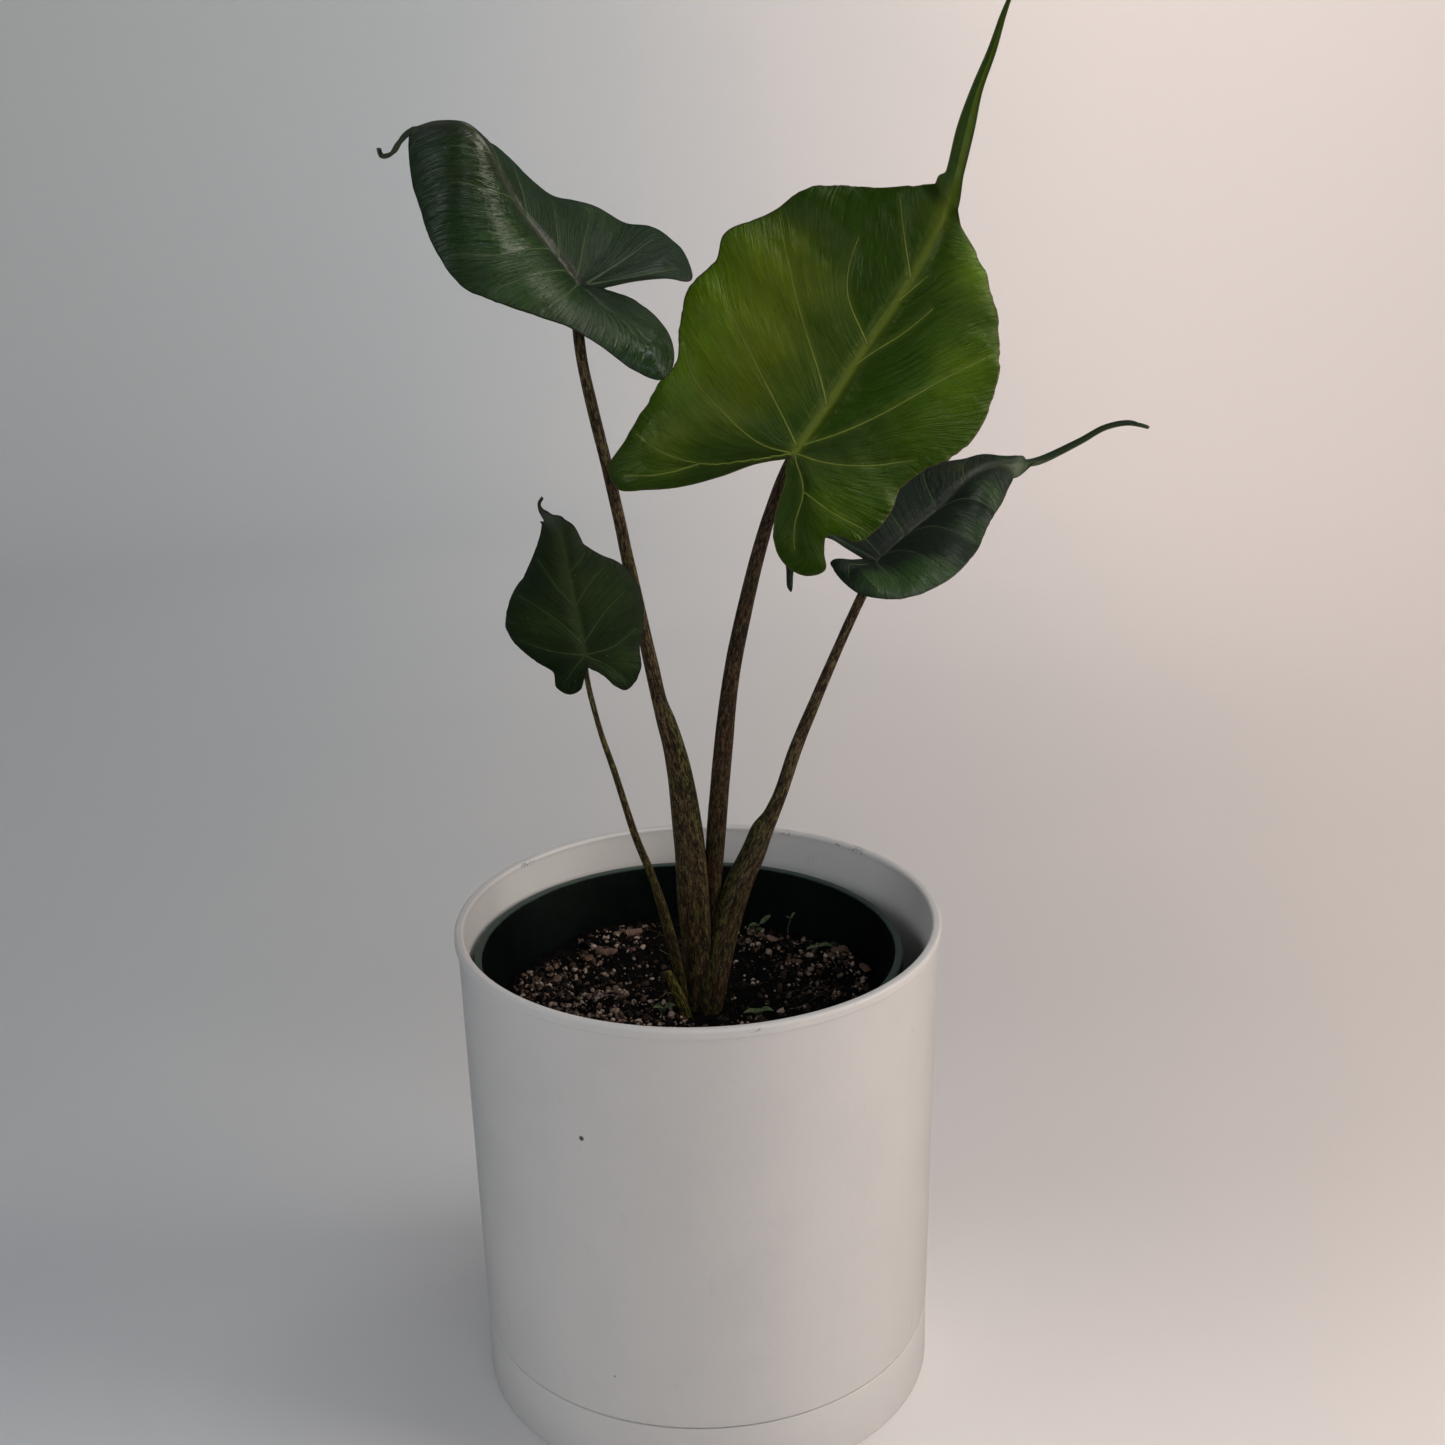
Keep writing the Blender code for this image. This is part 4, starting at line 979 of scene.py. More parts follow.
@dataclass
class Peat:
    """The peat's lumpy surface, with granules, bark, a wood chip and fibres strewn over it."""
    pot: GrowerPot
    level: float = 151.5
    crown: Pair = (0.5, -1.5)
    dish: float = 2.5
    mound: tuple = (56.0, 34.0, 4.0, 14.0)
    bark_mound: tuple = (-40.0, 47.0, 2.5, 11.0)
    rings: int = 130
    turn_steps: int = 380
    clear: float = 0.4
    granules: int = 4000
    crumbs: int = 900
    fibres: int = 36
    thick_spots: tuple = ((-50, 5, 24), (-62, 22, 15), (-38, 50, 15), (-30, 66, 10), (62, 20, 25),
                          (56, 46, 20), (20, 62, 13), (-26, -16, 24), (10, -50, 24), (-40, -45, 22),
                          (50, -36, 20))
    tries: int = 8
    rim_clear: float = 3.5
    crown_clear: float = 10.5
    clump_size: float = 4.5

    def height(self, places: np.ndarray) -> np.ndarray:
        """Height of the surface: a dish, two mounds, a raised crown and three layers of noise.

        Args:
            places: Points, one row each, of which x and y count.

        Returns:
            One height for each point.
        """
        flat = np.concatenate([places[:, :2], np.full((len(places), 1), 3.1)], axis=1)
        crown = distances(places[:, :2], self.crown)
        mound_x, mound_y, mound_height, mound_reach = self.mound
        mound = mound_height * pull(distances(places[:, :2], (mound_x, mound_y)), mound_reach)
        bark_x, bark_y, bark_height, bark_reach = self.bark_mound
        bark = bark_height * pull(distances(places[:, :2], (bark_x, bark_y)), bark_reach)
        lumps = 2.0 * fractal(flat / 30, 2, 5) + 1.5 * np.abs(fractal(flat / 9, 2, 9))
        crumbs = 1.1 * np.abs(fractal(flat / 3.2, 3, 21))
        rise = self.level + self.dish * (crown / self.pot.rim_radius) ** 2 + mound + bark
        return rise + (lumps + crumbs) * (0.35 + 0.65 * step(crown, 6, 16)) + 1.2 * pull(crown, 12)

    def bed(self) -> None:
        """The peat itself, a closed plug in place of its node."""
        edge = self.pot.inner(self.level) - self.clear
        low = self.pot.floor_z + self.pot.wall + 0.4
        radii = edge * np.linspace(0, 1, self.rings) ** 0.9
        profile = [(r, self.level) for r in radii]
        profile += [(self.pot.inner(z) - self.clear, z) for z in (146, 120, 80, low + 3)]
        profile += [(self.pot.inner(low) - 3, low), (0, low)]
        points, triangles = turned(profile, self.pot.centre, self.turn_steps)
        top = points[:, 2] > self.level - 1
        points[top, 2] = self.height(points[top])
        piece = add_piece("peat_bed", points, triangles, PeatFinish().material("damp_peat"))
        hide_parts("soil")

    def strewn(self, draw: np.random.Generator, count: int, even: float) -> np.ndarray:
        """Places on the peat, denser in the thick spots.

        Args:
            draw: The random source.
            count: How many places are kept.
            even: The share of places that may fall anywhere.

        Returns:
            Points on the surface.
        """
        reach = self.pot.inner(self.level) - self.rim_clear
        radius = reach * np.sqrt(draw.random(count * self.tries))
        angle = 2 * math.pi * draw.random(count * self.tries)
        places = np.stack([radius * np.cos(angle), radius * np.sin(angle)], axis=1) + self.pot.centre
        thick = sum(pull(distances(places, (x, y)), size) for x, y, size in self.thick_spots)
        flat = np.concatenate([places / self.clump_size, np.zeros((len(places), 1))], axis=1)
        clump = 0.5 + 0.5 * lattice_noise(flat, 4)
        chance = even + (1 - even) * np.clip(1.5 * thick * clump - 0.25, 0, 1)
        clear = distances(places, self.crown) > self.crown_clear
        places = places[(draw.random(len(places)) < chance) & clear][:count]
        return np.concatenate([places, self.height(places)[:, None]], axis=1)

    def grains(self, name: str, seed: int, count: int, sizes: Pair, even: float,
               finish: CrumbFinish) -> None:
        """Many small rounded lumps: a six-sided ball of three rings, jittered, stretched and turned.

        Args:
            name: The piece's name.
            seed: Seed of the random source.
            count: How many lumps.
            sizes: The smallest and the largest radius.
            even: The share that may fall anywhere.
            finish: The lumps' finish.
        """
        draw = np.random.default_rng(seed)
        places = self.strewn(draw, count, even)
        count = len(places)
        polar, sides = np.radians([0, 45, 90, 135, 180]), 6
        ball = ring_points(np.sin(polar), np.cos(polar), sides)
        ball, triangles = welded(ball, grid_faces(len(polar), sides, True))
        triangles = outward(ball, triangles)
        size = sizes[0] + (sizes[1] - sizes[0]) * draw.random(count) ** 2.6
        shape = ball[None] * (1 + 0.75 * (draw.random((count, len(ball), 1)) - 0.5))
        shape *= size[:, None, None] * (0.5 + 1.0 * draw.random((count, 1, 3)))
        spin, _ = np.linalg.qr(draw.normal(size=(count, 3, 3)))
        spin *= np.sign(np.linalg.det(spin))[:, None, None]
        shape = np.einsum("nij,nkj->nki", spin, shape)
        shape += (places + np.array([0, 0, 0.25]) * size[:, None])[:, None]
        faces = triangles[None] + (np.arange(count) * len(ball))[:, None, None]
        tone = np.repeat(draw.random(count), len(ball))
        add_piece(name, shape.reshape(-1, 3), faces.reshape(-1, 3), finish.material(name),
                  {"tone": tone})

    def threads(self) -> None:
        """Thin root fibres: each follows the surface in a gentle curve and lifts off it a little."""
        draw = np.random.default_rng(31)
        rings, sides = 14, 5
        parts = []
        for place in self.strewn(draw, self.fibres, 0.7):
            heading, bend = draw.random() * 2 * math.pi, (draw.random() - 0.5) * 0.22
            reach, lift = 6 + 14 * draw.random(), 0.4 + 1.8 * draw.random() ** 2
            run = np.linspace(0, reach, rings)
            turn = heading + bend * run
            flat = place[:2] + np.stack([np.cumsum(np.cos(turn)), np.cumsum(np.sin(turn))], axis=1) * run[1]
            keep = distances(flat, self.pot.centre) < self.pot.inner(self.level) - 2
            if keep.all():
                arch = lift * np.sin(np.linspace(0, math.pi, rings))
                path = np.concatenate([flat, (self.height(flat) + arch)[:, None]], axis=1)
                width = (0.12 + 0.22 * draw.random()) * np.linspace(1.0, 0.5, rings)
                points, triangles = tube(path, width, sides)
                parts.append((points, triangles, np.full(len(points), draw.random())))
        points, triangles, tone = merged(parts)
        finish = CrumbFinish((0.020, 0.012, 0.008), (0.075, 0.050, 0.030), (0.22, 0.17, 0.12))
        add_piece("root_fibres", points, triangles, finish.material("root_fibres"), {"tone": tone})

    def bark(self) -> None:
        """Curled bark pieces and the large wood chip: sheets bent round an axis, thickened and roughened."""
        draw = np.random.default_rng(77)
        curls = [(-30.5, 59.0, 12.0, 5.5, 15.0, 2.1), (-38.5, 45.0, 9.0, 6.5, 160.0, 1.4),
                 (-46.0, 41.0, 5.0, 4.0, 60.0, 1.0), (56.0, 34.0, 6.0, 4.0, 25.0, 1.2),
                 (66.0, 22.0, 6.5, 3.5, 110.0, 0.9), (-58.0, 24.0, 5.5, 3.0, 80.0, 1.0),
                 (30.0, 57.0, 5.0, 3.0, 140.0, 1.1), (22.0, -42.0, 9.0, 5.0, 30.0, 1.4),
                 (-30.0, -52.0, 8.0, 4.5, 120.0, 1.2), (60.0, -28.0, 7.0, 4.0, 75.0, 1.1)]
        rows, columns = 22, 16
        u, v = np.meshgrid(np.linspace(-1, 1, rows), np.linspace(-1, 1, columns), indexing="ij")
        taper = np.sqrt(np.clip(1 - 0.85 * np.abs(u) ** 3, 0, 1))
        parts = []
        for x, y, length, width, turn, curl in curls:
            bow = v * curl
            radius = width / 2 / curl
            across, lift = radius * np.sin(bow) * taper, radius * (np.cos(bow) - 1) * taper
            local = np.stack([u * length / 2, across, lift], axis=2).reshape(-1, 3)
            local[:, 2] += 0.5 * fractal(local / 2.6 + x, 2, 3)
            angle = math.radians(turn)
            spin = np.array([[math.cos(angle), -math.sin(angle), 0], [math.sin(angle), math.cos(angle), 0],
                             [0, 0, 1]])
            base = self.height(np.array([[x, y, 0.0]]))[0] + 1.3
            sheet, triangles = welded(local @ spin.T + (x, y, base), grid_faces(rows, columns))
            normals = vertex_normals(sheet, triangles)
            points, faces = skin(sheet + 0.45 * normals, sheet - 0.45 * normals, triangles)
            parts.append((points, outward(points, faces), np.full(len(points), 0.35 + 0.6 * draw.random())))
        points, triangles, tone = merged(parts)
        finish = CrumbFinish((0.040, 0.022, 0.014), (0.125, 0.072, 0.050), (0.26, 0.17, 0.13))
        add_piece("bark_chips", points, triangles, finish.material("bark_chips"), {"tone": tone})

    def build(self) -> None:
        """Make the bed and all that lies on it."""
        self.bed()
        pale = CrumbFinish((0.022, 0.013, 0.009), (0.17, 0.108, 0.078), (0.55, 0.43, 0.35))
        brown = CrumbFinish((0.004, 0.003, 0.002), (0.012, 0.008, 0.006), (0.050, 0.030, 0.020))
        self.grains("pale_granules", 5, self.granules, sizes=(0.26, 1.15), even=0.07, finish=pale)
        self.grains("peat_crumbs", 8, self.crumbs, sizes=(0.4, 1.7), even=0.75, finish=brown)
        self.threads()
        self.bark()


# Leaves

@dataclass(frozen=True)
class Half:
    """One half of a blade, as margin points (along, across, lift) in the leaf's own frame.

    The margin runs from the sinus down the lobe's inner edge, round its tip, back up its outer edge, and
    along the side to the foot of the tail. The lobe's vein ends at axis_end. Belly is how far a line from
    vein to margin bows up, as a share of its length. Veins are given as (along, across) points.
    """
    inner: tuple
    tip: tuple
    outer: tuple
    side: tuple
    axis_end: Point
    belly: float
    veins: tuple


@dataclass
class Leaf:
    """A blade with its tail: a surface of lines from the midrib and the lobes' veins to the margin.

    Its columns run along the margin, and its rows from vein to margin. The relief is added along the
    surface's normal: sunk veins in front, raised ribs behind, and soft swellings between them.
    """
    name: str
    finish: LeafFinish
    slot: Slot
    hub: Point
    heading: float
    pitch: float
    roll: float
    midrib: tuple
    left: Half
    right: Half
    tail: tuple
    seed: int
    quilt: float = 0.7
    quilt_reach: float = 6.5
    flat_rim: float = 4.5
    wave: float = 0.45
    wave_span: Pair = (13.0, 30.0)
    pucker: float = 0.16
    pucker_span: Pair = (4.0, 15.0)
    fray: float = 0.35
    rib: float = 1.3
    rib_width: float = 1.5
    groove: float = 0.75
    groove_width: float = 1.9
    cord: float = 0.30
    crest: float = 0.2
    crest_width: float = 0.9
    side_groove: float = 0.30
    side_rib: float = 0.36
    tail_fold: float = 0.28
    tail_rib: float = 0.55
    # Soft spots of lighter and darker green: partly the blade's own tone, partly painted light shining
    # through it, and painted shade where the amount is negative.
    bright_spots: tuple = ()
    warm_spots: tuple = ()
    gloss_spots: tuple = ()
    shoulder: float = 0.15
    inner_steps: int = 26
    tip_steps: int = 32
    side_steps: int = 120
    tail_steps: int = 50
    rows: int = 60
    thick: float = 0.8

    def place(self) -> np.ndarray:
        """The matrix from the leaf's own frame to the world, in millimetres."""
        place = Matrix.Translation(self.hub)
        for angle, axis in ((self.heading, "Z"), (-self.pitch, "Y"), (self.roll, "X")):
            place = place @ Matrix.Rotation(math.radians(angle), 4, axis)
        return np.array(place)

    def tail_line(self) -> tuple[np.ndarray, np.ndarray]:
        """The tail's centre line, and its half width carried sideways, from its foot to its tip."""
        dense, _ = smooth_path([(*self.midrib[-1], self.tail[0][3]), *self.tail])
        line = spaced(dense, self.tail_steps)[1:]
        middle = line[:, :3]
        along = unit(np.gradient(np.concatenate([[self.midrib[-1]], middle]), axis=0)[1:])
        side = unit(np.array([0.0, 1.0, 0.0]) - along[:, 1:2] * along)
        return middle, side * line[:, 3:4]

    def half_grid(self, half: Half, side: Side) -> tuple[np.ndarray, ...]:
        """A half blade: point = foot + share * (edge - foot), bowed up by 4 share (1 - share) belly.

        Args:
            half: The half's margin and lobe.
            side: Which half it is.

        Returns:
            The points, and for each its place along the margin, its distance from its foot, its
            distance from the margin, and whether it lies on the tail.
        """
        dense, marks = smooth_path(half.inner + half.tip + half.outer + half.side)
        ends = np.cumsum([len(half.inner), len(half.tip), len(half.outer)])
        breaks = [0, marks[ends[0] - 1], marks[ends[1]], marks[ends[2] - 1], marks[-1]]
        counts = [self.inner_steps, self.tip_steps, self.inner_steps, self.side_steps]
        spans = [spaced(dense[a:b + 1], n) for a, b, n in zip(breaks, breaks[1:], counts)]
        edge = np.concatenate([spans[0]] + [span[1:] for span in spans[1:]])
        vein = np.linspace(np.zeros(3), half.axis_end, self.inner_steps + 1)
        rib = spaced(smooth_path(((0, 0, 0),) + self.midrib)[0], self.side_steps)
        middle, sideways = self.tail_line()
        feet = np.concatenate([vein, np.repeat(vein[-1:], self.tip_steps, axis=0), vein[-2::-1], rib[1:],
                               middle])
        gap = edge[-1] - rib[-1] - side.value * sideways[0]
        leave = 1 - step(np.linspace(0, 1, self.tail_steps), 0, self.shoulder)[:, None]
        tail_edge = middle + side.value * sideways + leave * gap
        inward = unit(feet[:len(edge)] - edge)
        column = np.arange(len(edge))[:, None]
        walk = column * (0.16, 0.0, 0.0) + (0.0, side.value * 7.3, self.seed)
        ragged = np.maximum(fractal(walk, 3, self.seed), 0)
        ragged *= np.minimum(len(edge) - column[:, 0], 12) / 12
        edge = np.concatenate([edge + self.fray * ragged[:, None] * inward, tail_edge])
        ray = edge - feet
        length = np.linalg.norm(ray, axis=1)[:, None]
        way = unit(ray)
        up = unit(np.array([0.0, 0.0, 1.0]) - way[:, 2:3] * way)
        column = np.arange(len(feet))[:, None]
        on_tail = step(column[:, 0], len(feet) - self.tail_steps - 9, len(feet) - self.tail_steps + 9)
        ease = np.clip(column / self.inner_steps, 0, 1)
        ease = ease * np.clip((len(feet) - self.tail_steps - column) / self.side_steps * 8, 0, 1)
        share = np.linspace(0.0, 1.0, self.rows + 1)[None, :, None]
        bow = 4 * share * (1 - share) * (half.belly * ease * length * up)[:, None]
        points = feet[:, None] + share * ray[:, None] + bow
        run = run_length(edge)
        shape = points.shape[:2]
        share = share[..., 0]
        return (points.reshape(-1, 3), np.broadcast_to(run[:, None], shape).ravel(),
                (share * length).ravel(), ((1 - share) * length).ravel(),
                np.broadcast_to(on_tail[:, None], shape).ravel())

    def vein_field(self, flat: np.ndarray, run: np.ndarray, rim: np.ndarray, hand: np.ndarray,
                   triangles: np.ndarray) -> tuple[np.ndarray, ...]:
        """Fields that follow the side veins.

        Strand is a coordinate that runs across the veins. On the margin it is the place along it, each
        vein holds the value of the place where it ends, and between them it is spread evenly.

        Args:
            flat: Points in the leaf's plane.
            run: Their places along the margin.
            rim: Their distances from the margin.
            hand: 1 on the left half, and -1 on the right.
            triangles: The mesh of the points.

        Returns:
            How strongly each point lies on a vein, its distance from the nearest one, its distance from
            the midrib, how far along the midrib and tail it lies, and its strand.
        """
        on_vein = 0.6
        midrib = smooth_path([(0, 0), *(point[:2] for point in self.midrib + self.tail)])[0]
        middle, middle_share = path_distance(flat, spaced(midrib, 60))
        strength = np.zeros(len(flat))
        nearest = middle.copy()
        margin = rim < 0.05
        strand, held = run.copy(), np.full(len(flat), on_vein)
        for half, side in ((self.left, Side.LEFT), (self.right, Side.RIGHT)):
            own = hand == side.value
            for vein in half.veins:
                path = spaced(smooth_path(vein)[0], 22)
                far, share = path_distance(flat, path)
                strength = np.maximum(strength, pull(far, 1.25) * (1 - 0.5 * share))
                nearest = np.minimum(nearest, far + 2.0 * share)
                edge = own & margin
                closer = own & ~margin & (far < held)
                strand[closer] = run[edge][np.argmin(distances(flat[edge], path[-1]))]
                held[closer] = far[closer]
        edges = np.unique(np.sort(triangles[:, [0, 1, 1, 2, 2, 0]].reshape(-1, 2), axis=1), axis=0)
        edges = edges[hand[edges[:, 0]] == hand[edges[:, 1]]]
        strand = settled(strand, margin | (held < on_vein), flat, edges)
        return strength, nearest, middle, middle_share, strand

    def cords(self, flat: np.ndarray, front: np.ndarray, normals: np.ndarray) -> None:
        """Fine raised veins, as half-sunk tubes that follow the front over their paths.

        A tube's centre is a plane fitted to the front's nearest points, with weights exp(-2 (d / reach)^2).
        A vein stops where its path leaves the blade.

        Args:
            flat: The front's points in the leaf's plane.
            front: The front's points in the world.
            normals: Its normals.
        """
        parts = []
        for half in (self.left, self.right):
            for vein in half.veins:
                path = spaced(smooth_path(vein)[0], 44)
                gaps = flat[None] - path[:, None]
                far = np.linalg.norm(gaps, axis=2)
                path = path[:int(np.argmax(np.append(far.min(axis=1) > 0.8, True)))]
                near = np.argpartition(far[:len(path)], 14, axis=1)[:, :14]
                rows = np.arange(len(path))[:, None]
                reach = far[rows, near].max(axis=1)[:, None]
                weight = np.exp(-2 * (far[rows, near] / reach) ** 2)[:, :, None]
                terms = np.concatenate([np.ones_like(weight), gaps[rows, near]], axis=2)
                matrix = np.einsum("nki,nkj->nij", terms * weight, terms) + np.diag([0, 1e-3, 1e-3])
                answer = np.linalg.solve(matrix, np.einsum("nki,nkj->nij", terms * weight, front[near]))
                up = unit((normals[near] * weight).sum(axis=1))
                radius = self.cord * np.linspace(1.15, 0.45, len(path))
                parts.append(tube(answer[:, 0] - up * radius[:, None] * 0.35, radius, 6))
        points, triangles = merged(parts)
        finish = VeinFinish(self.finish.vein).material(self.name + "_veins")
        add_piece(self.name + "_veins", points, triangles, finish)

    def build(self) -> None:
        """Make the blade in place of its node."""
        grids, quads, start = [], [], 0
        for half, side in ((self.left, Side.LEFT), (self.right, Side.RIGHT)):
            grid = self.half_grid(half, side)
            faces = grid_faces(len(grid[0]) // (self.rows + 1), self.rows + 1) + start
            quads.append(faces if side is Side.LEFT else faces[:, ::-1])
            grids.append(grid)
            start += len(grid[0])
        points, run, reach, rim, on_tail = (np.concatenate([g[k] for g in grids]) for k in range(5))
        hand = np.concatenate([np.full(len(g[0]), s.value) for g, s in zip(grids, Side)])
        points, triangles, run, reach, rim, on_tail, hand = welded(
            points, np.concatenate(quads), run, reach, rim, on_tail, hand)
        flat = points[:, :2]
        vein, nearest, middle, middle_share, strand = self.vein_field(flat, run, rim, hand, triangles)
        strand = strand * (1 - on_tail) + 5 * reach * on_tail
        along = reach * (1 - on_tail) + run * on_tail
        blade = 1 - on_tail
        inside = (1 - pull(rim, self.flat_rim)) * blade
        bulge = self.quilt * (1 - pull(nearest, self.quilt_reach)) * inside
        long, wide = self.wave_span
        waves = self.wave * fractal(np.stack([run / long, reach / wide, hand * 3.0], axis=1), 2, self.seed)
        waves *= (1 - pull(reach, 14)) * blade
        long, wide = self.pucker_span
        pucker = fractal(np.stack([strand / long, reach / wide, hand * 5.0], axis=1), 2, self.seed + 7)
        pucker *= self.pucker * inside * (1 - pull(middle, 5)) * step(reach, 4, 14)
        shift = bulge + waves + pucker + self.tail_fold * middle * on_tail
        fade = 1 - 0.8 * middle_share
        channel = pull(middle, self.groove_width) * fade + self.side_groove * vein
        channel = self.groove * blade * (channel - self.crest * pull(middle, self.crest_width) * fade)
        keel = self.rib * pull(middle, self.rib_width) * fade + self.side_rib * vein * blade
        keel += self.tail_rib * pull(middle, 1.2) * on_tail
        thin = self.thick * (0.5 + 0.5 * (1 - pull(rim, 1.4)))
        place = self.place()
        world = points @ place[:3, :3].T + place[:3, 3]
        normals = vertex_normals(world, triangles)
        front = world + (shift + thin / 2 - channel)[:, None] * normals
        back = world + (shift - thin / 2 - keel)[:, None] * normals
        shell, faces = skin(front, back, triangles)
        rib_width = pull(middle, 1.15) * (1 - 0.6 * middle_share) * blade
        fields = {"vein": np.maximum(vein * 0.25, rib_width), "middle": middle, "rim": rim, "tail": on_tail,
                  # the lighter and darker spots: the blade's own tone, with painted light and painted shade
                  "bright": self.spots(flat, self.bright_spots),
                  "warm": self.spots(flat, self.warm_spots),
                  "gloss": self.spots(flat, self.gloss_spots)}
        fields = {key: np.tile(values, 2) for key, values in fields.items()}
        fields["back"] = np.repeat([0.0, 1.0], len(points))
        fields["flow"] = np.tile(np.stack([strand, along, hand * 40.0], axis=1), (2, 1))
        material = self.finish.material(self.name)
        piece = add_piece(self.name + "_blade", shell, faces, material, fields)
        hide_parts(self.name)
        self.cords(flat, front, normals)

    @staticmethod
    def spots(flat: np.ndarray, given: tuple) -> np.ndarray:
        """A field that adds up soft round spots, given as (along, across, size, amount)."""
        bells = (amount * pull(distances(flat, (x, y)), size) for x, y, size, amount in given)
        return sum(bells, np.zeros(len(flat)))


# Stalks

@dataclass
class Stalk:
    """A leaf stalk through stations (x, y, z, half width left, half width right, half depth).

    Its section is two half ellipses. A sheath runs up one side and stops in a step. Its edge is a
    crease along the stalk, at crease degrees round from the right, up to the height crease_top.
    """
    name: str
    stations: tuple
    finish: StalkFinish
    crease: float | None = None
    crease_top: float = 0.0
    wing: tuple = (0.0, 0.0)
    wing_rise: float = 0.35
    groove: float = 0.75
    swelling: float = 0.16
    ridge: float = 0.07
    seed: int = 1
    sides: int = 44
    rings: int = 300
    root: float = 4.0

    def build(self) -> None:
        """Make the stalk in place of its node."""
        dense, _ = smooth_path(self.stations)
        rings = spaced(dense, self.rings)
        first = rings[:1].copy()
        first[0, 2] -= self.root
        rings = np.concatenate([first, rings])
        centre = rings[:, :3]
        along = unit(np.gradient(centre, axis=0))
        across = unit(np.cross([0.0, 1.0, 0.0], along))
        deep = np.cross(along, across)
        length = run_length(centre)
        turn = full_turn(self.sides)
        cosine, sine = np.cos(turn)[None], np.sin(turn)[None]
        wide = np.where(cosine > 0, rings[:, 4:5], rings[:, 3:4])
        shape = (len(rings), self.sides)
        run = np.broadcast_to(length[:, None], shape)
        flow = np.stack([wide * cosine, rings[:, 5:6] * sine, run], axis=2)
        swell = fractal((flow * (0.25, 0.25, 0.035)).reshape(-1, 3), 3, self.seed).reshape(shape)
        swell = self.swelling * swell
        ridges = lattice_noise((flow * (0.9, 0.9, 0.012)).reshape(-1, 3), self.seed + 5).reshape(shape)
        wing = np.zeros(shape)
        groove = np.zeros(shape)
        if self.crease is not None:
            height = centre[:, 2:3]
            below = 1 - step(height, self.crease_top - 9, self.crease_top)
            lean = self.crease + 10 * fractal(np.stack([length / 30] * 3, axis=1), 2, 3)[:, None]
            angle = (np.degrees(turn)[None] - lean + 180) % 360 - 180
            groove = self.groove * pull(angle, 11) * below
            from_crease = step(angle if self.wing[0] > 0 else -angle, 2, 14)
            wing = from_crease * (1 - step(np.abs(angle), self.wing[1], self.wing[1] + 20)) * below
            swell = swell + self.wing_rise * wing
        end = np.ones(len(rings))
        end[[0, -1]] = 0.0
        relief = swell + self.ridge * ridges - groove
        scale = (1 + relief / np.maximum(wide, 0.5)) * end[:, None]
        offset = (scale * wide * cosine)[..., None] * across[:, None]
        offset = offset + (scale * rings[:, 5:6] * sine)[..., None] * deep[:, None]
        points = (centre[:, None] + offset).reshape(-1, 3)
        points, triangles, flow, wing = welded(points, grid_faces(len(rings), self.sides, True),
                                               flow.reshape(-1, 3), wing.ravel())
        piece = add_piece(self.name.replace("petiole", "stalk") + "_skin", points,
                          outward(points, triangles), self.finish.material(self.name),
                          {"straight": flow, "wing": wing})
        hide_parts(self.name)


# Weeds

@dataclass
class Sprig:
    """A weed seedling: a thin bent stem and a few small cupped leaves, in place of its node."""
    name: str
    place: Pair
    leaves: tuple
    height: float
    peat: Peat
    stem: float = 0.35
    rings: int = 14
    rows: int = 16
    columns: int = 9
    finish: WeedFinish = field(default_factory=WeedFinish)

    def leaf(self, base: np.ndarray, length: float, width: float, heading: float, rise: float, curl: float
             ) -> tuple[np.ndarray, ...]:
        """A small leaf, bent and cupped; its half width is w / 2 sin(pi u ** 0.8) ** 0.7 and a little more.

        Args:
            base: The place of its foot.
            length: Its length.
            width: Its width.
            heading: Where it points, in degrees from +X.
            rise: How steeply it leaves its foot, in degrees.
            curl: How far it bends down along its length, in radians.

        Returns:
            The points and the triangles, facing outwards.
        """
        u, v = np.meshgrid(np.linspace(0.02, 1, self.rows), np.linspace(-1, 1, self.columns), indexing="ij")
        half = width / 2 * np.sin(math.pi * u ** 0.8) ** 0.7 + 0.08
        bend = math.radians(rise) - curl * u
        x = np.cumsum(np.cos(bend), axis=0) * length / self.rows
        z = np.cumsum(np.sin(bend), axis=0) * length / self.rows
        z = z + 0.25 * width * v ** 2 * np.sin(math.pi * u)
        local = np.stack([x, half * v, z], axis=2).reshape(-1, 3)
        turn = np.array(Matrix.Rotation(math.radians(heading), 3, "Z"))
        sheet, triangles = welded(local @ turn.T + base, grid_faces(self.rows, self.columns))
        normals = vertex_normals(sheet, triangles)
        points, faces = skin(sheet + 0.15 * normals, sheet - 0.15 * normals, triangles)
        return points, outward(points, faces)

    def build(self) -> None:
        """Make the weed."""
        x, y = self.place
        ground = self.peat.height(np.array([[x, y, 0.0]]))[0]
        top = np.array([x + 0.8, y - 0.4, ground + self.height])
        bend = (x - 0.3, y, ground + 0.4 * self.height)
        path = spaced(smooth_path([(x, y, ground - 5), bend, top])[0], self.rings)
        parts = [tube(path, np.full(len(path), self.stem), 8)]
        parts += [self.leaf(path[round(self.rings * at)], *shape) for at, *shape in self.leaves]
        points, triangles = merged(parts)
        piece = add_piece(self.name.replace("seedling", "weed"), points, triangles,
                          self.finish.material(self.name))
        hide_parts(self.name)


# The studio

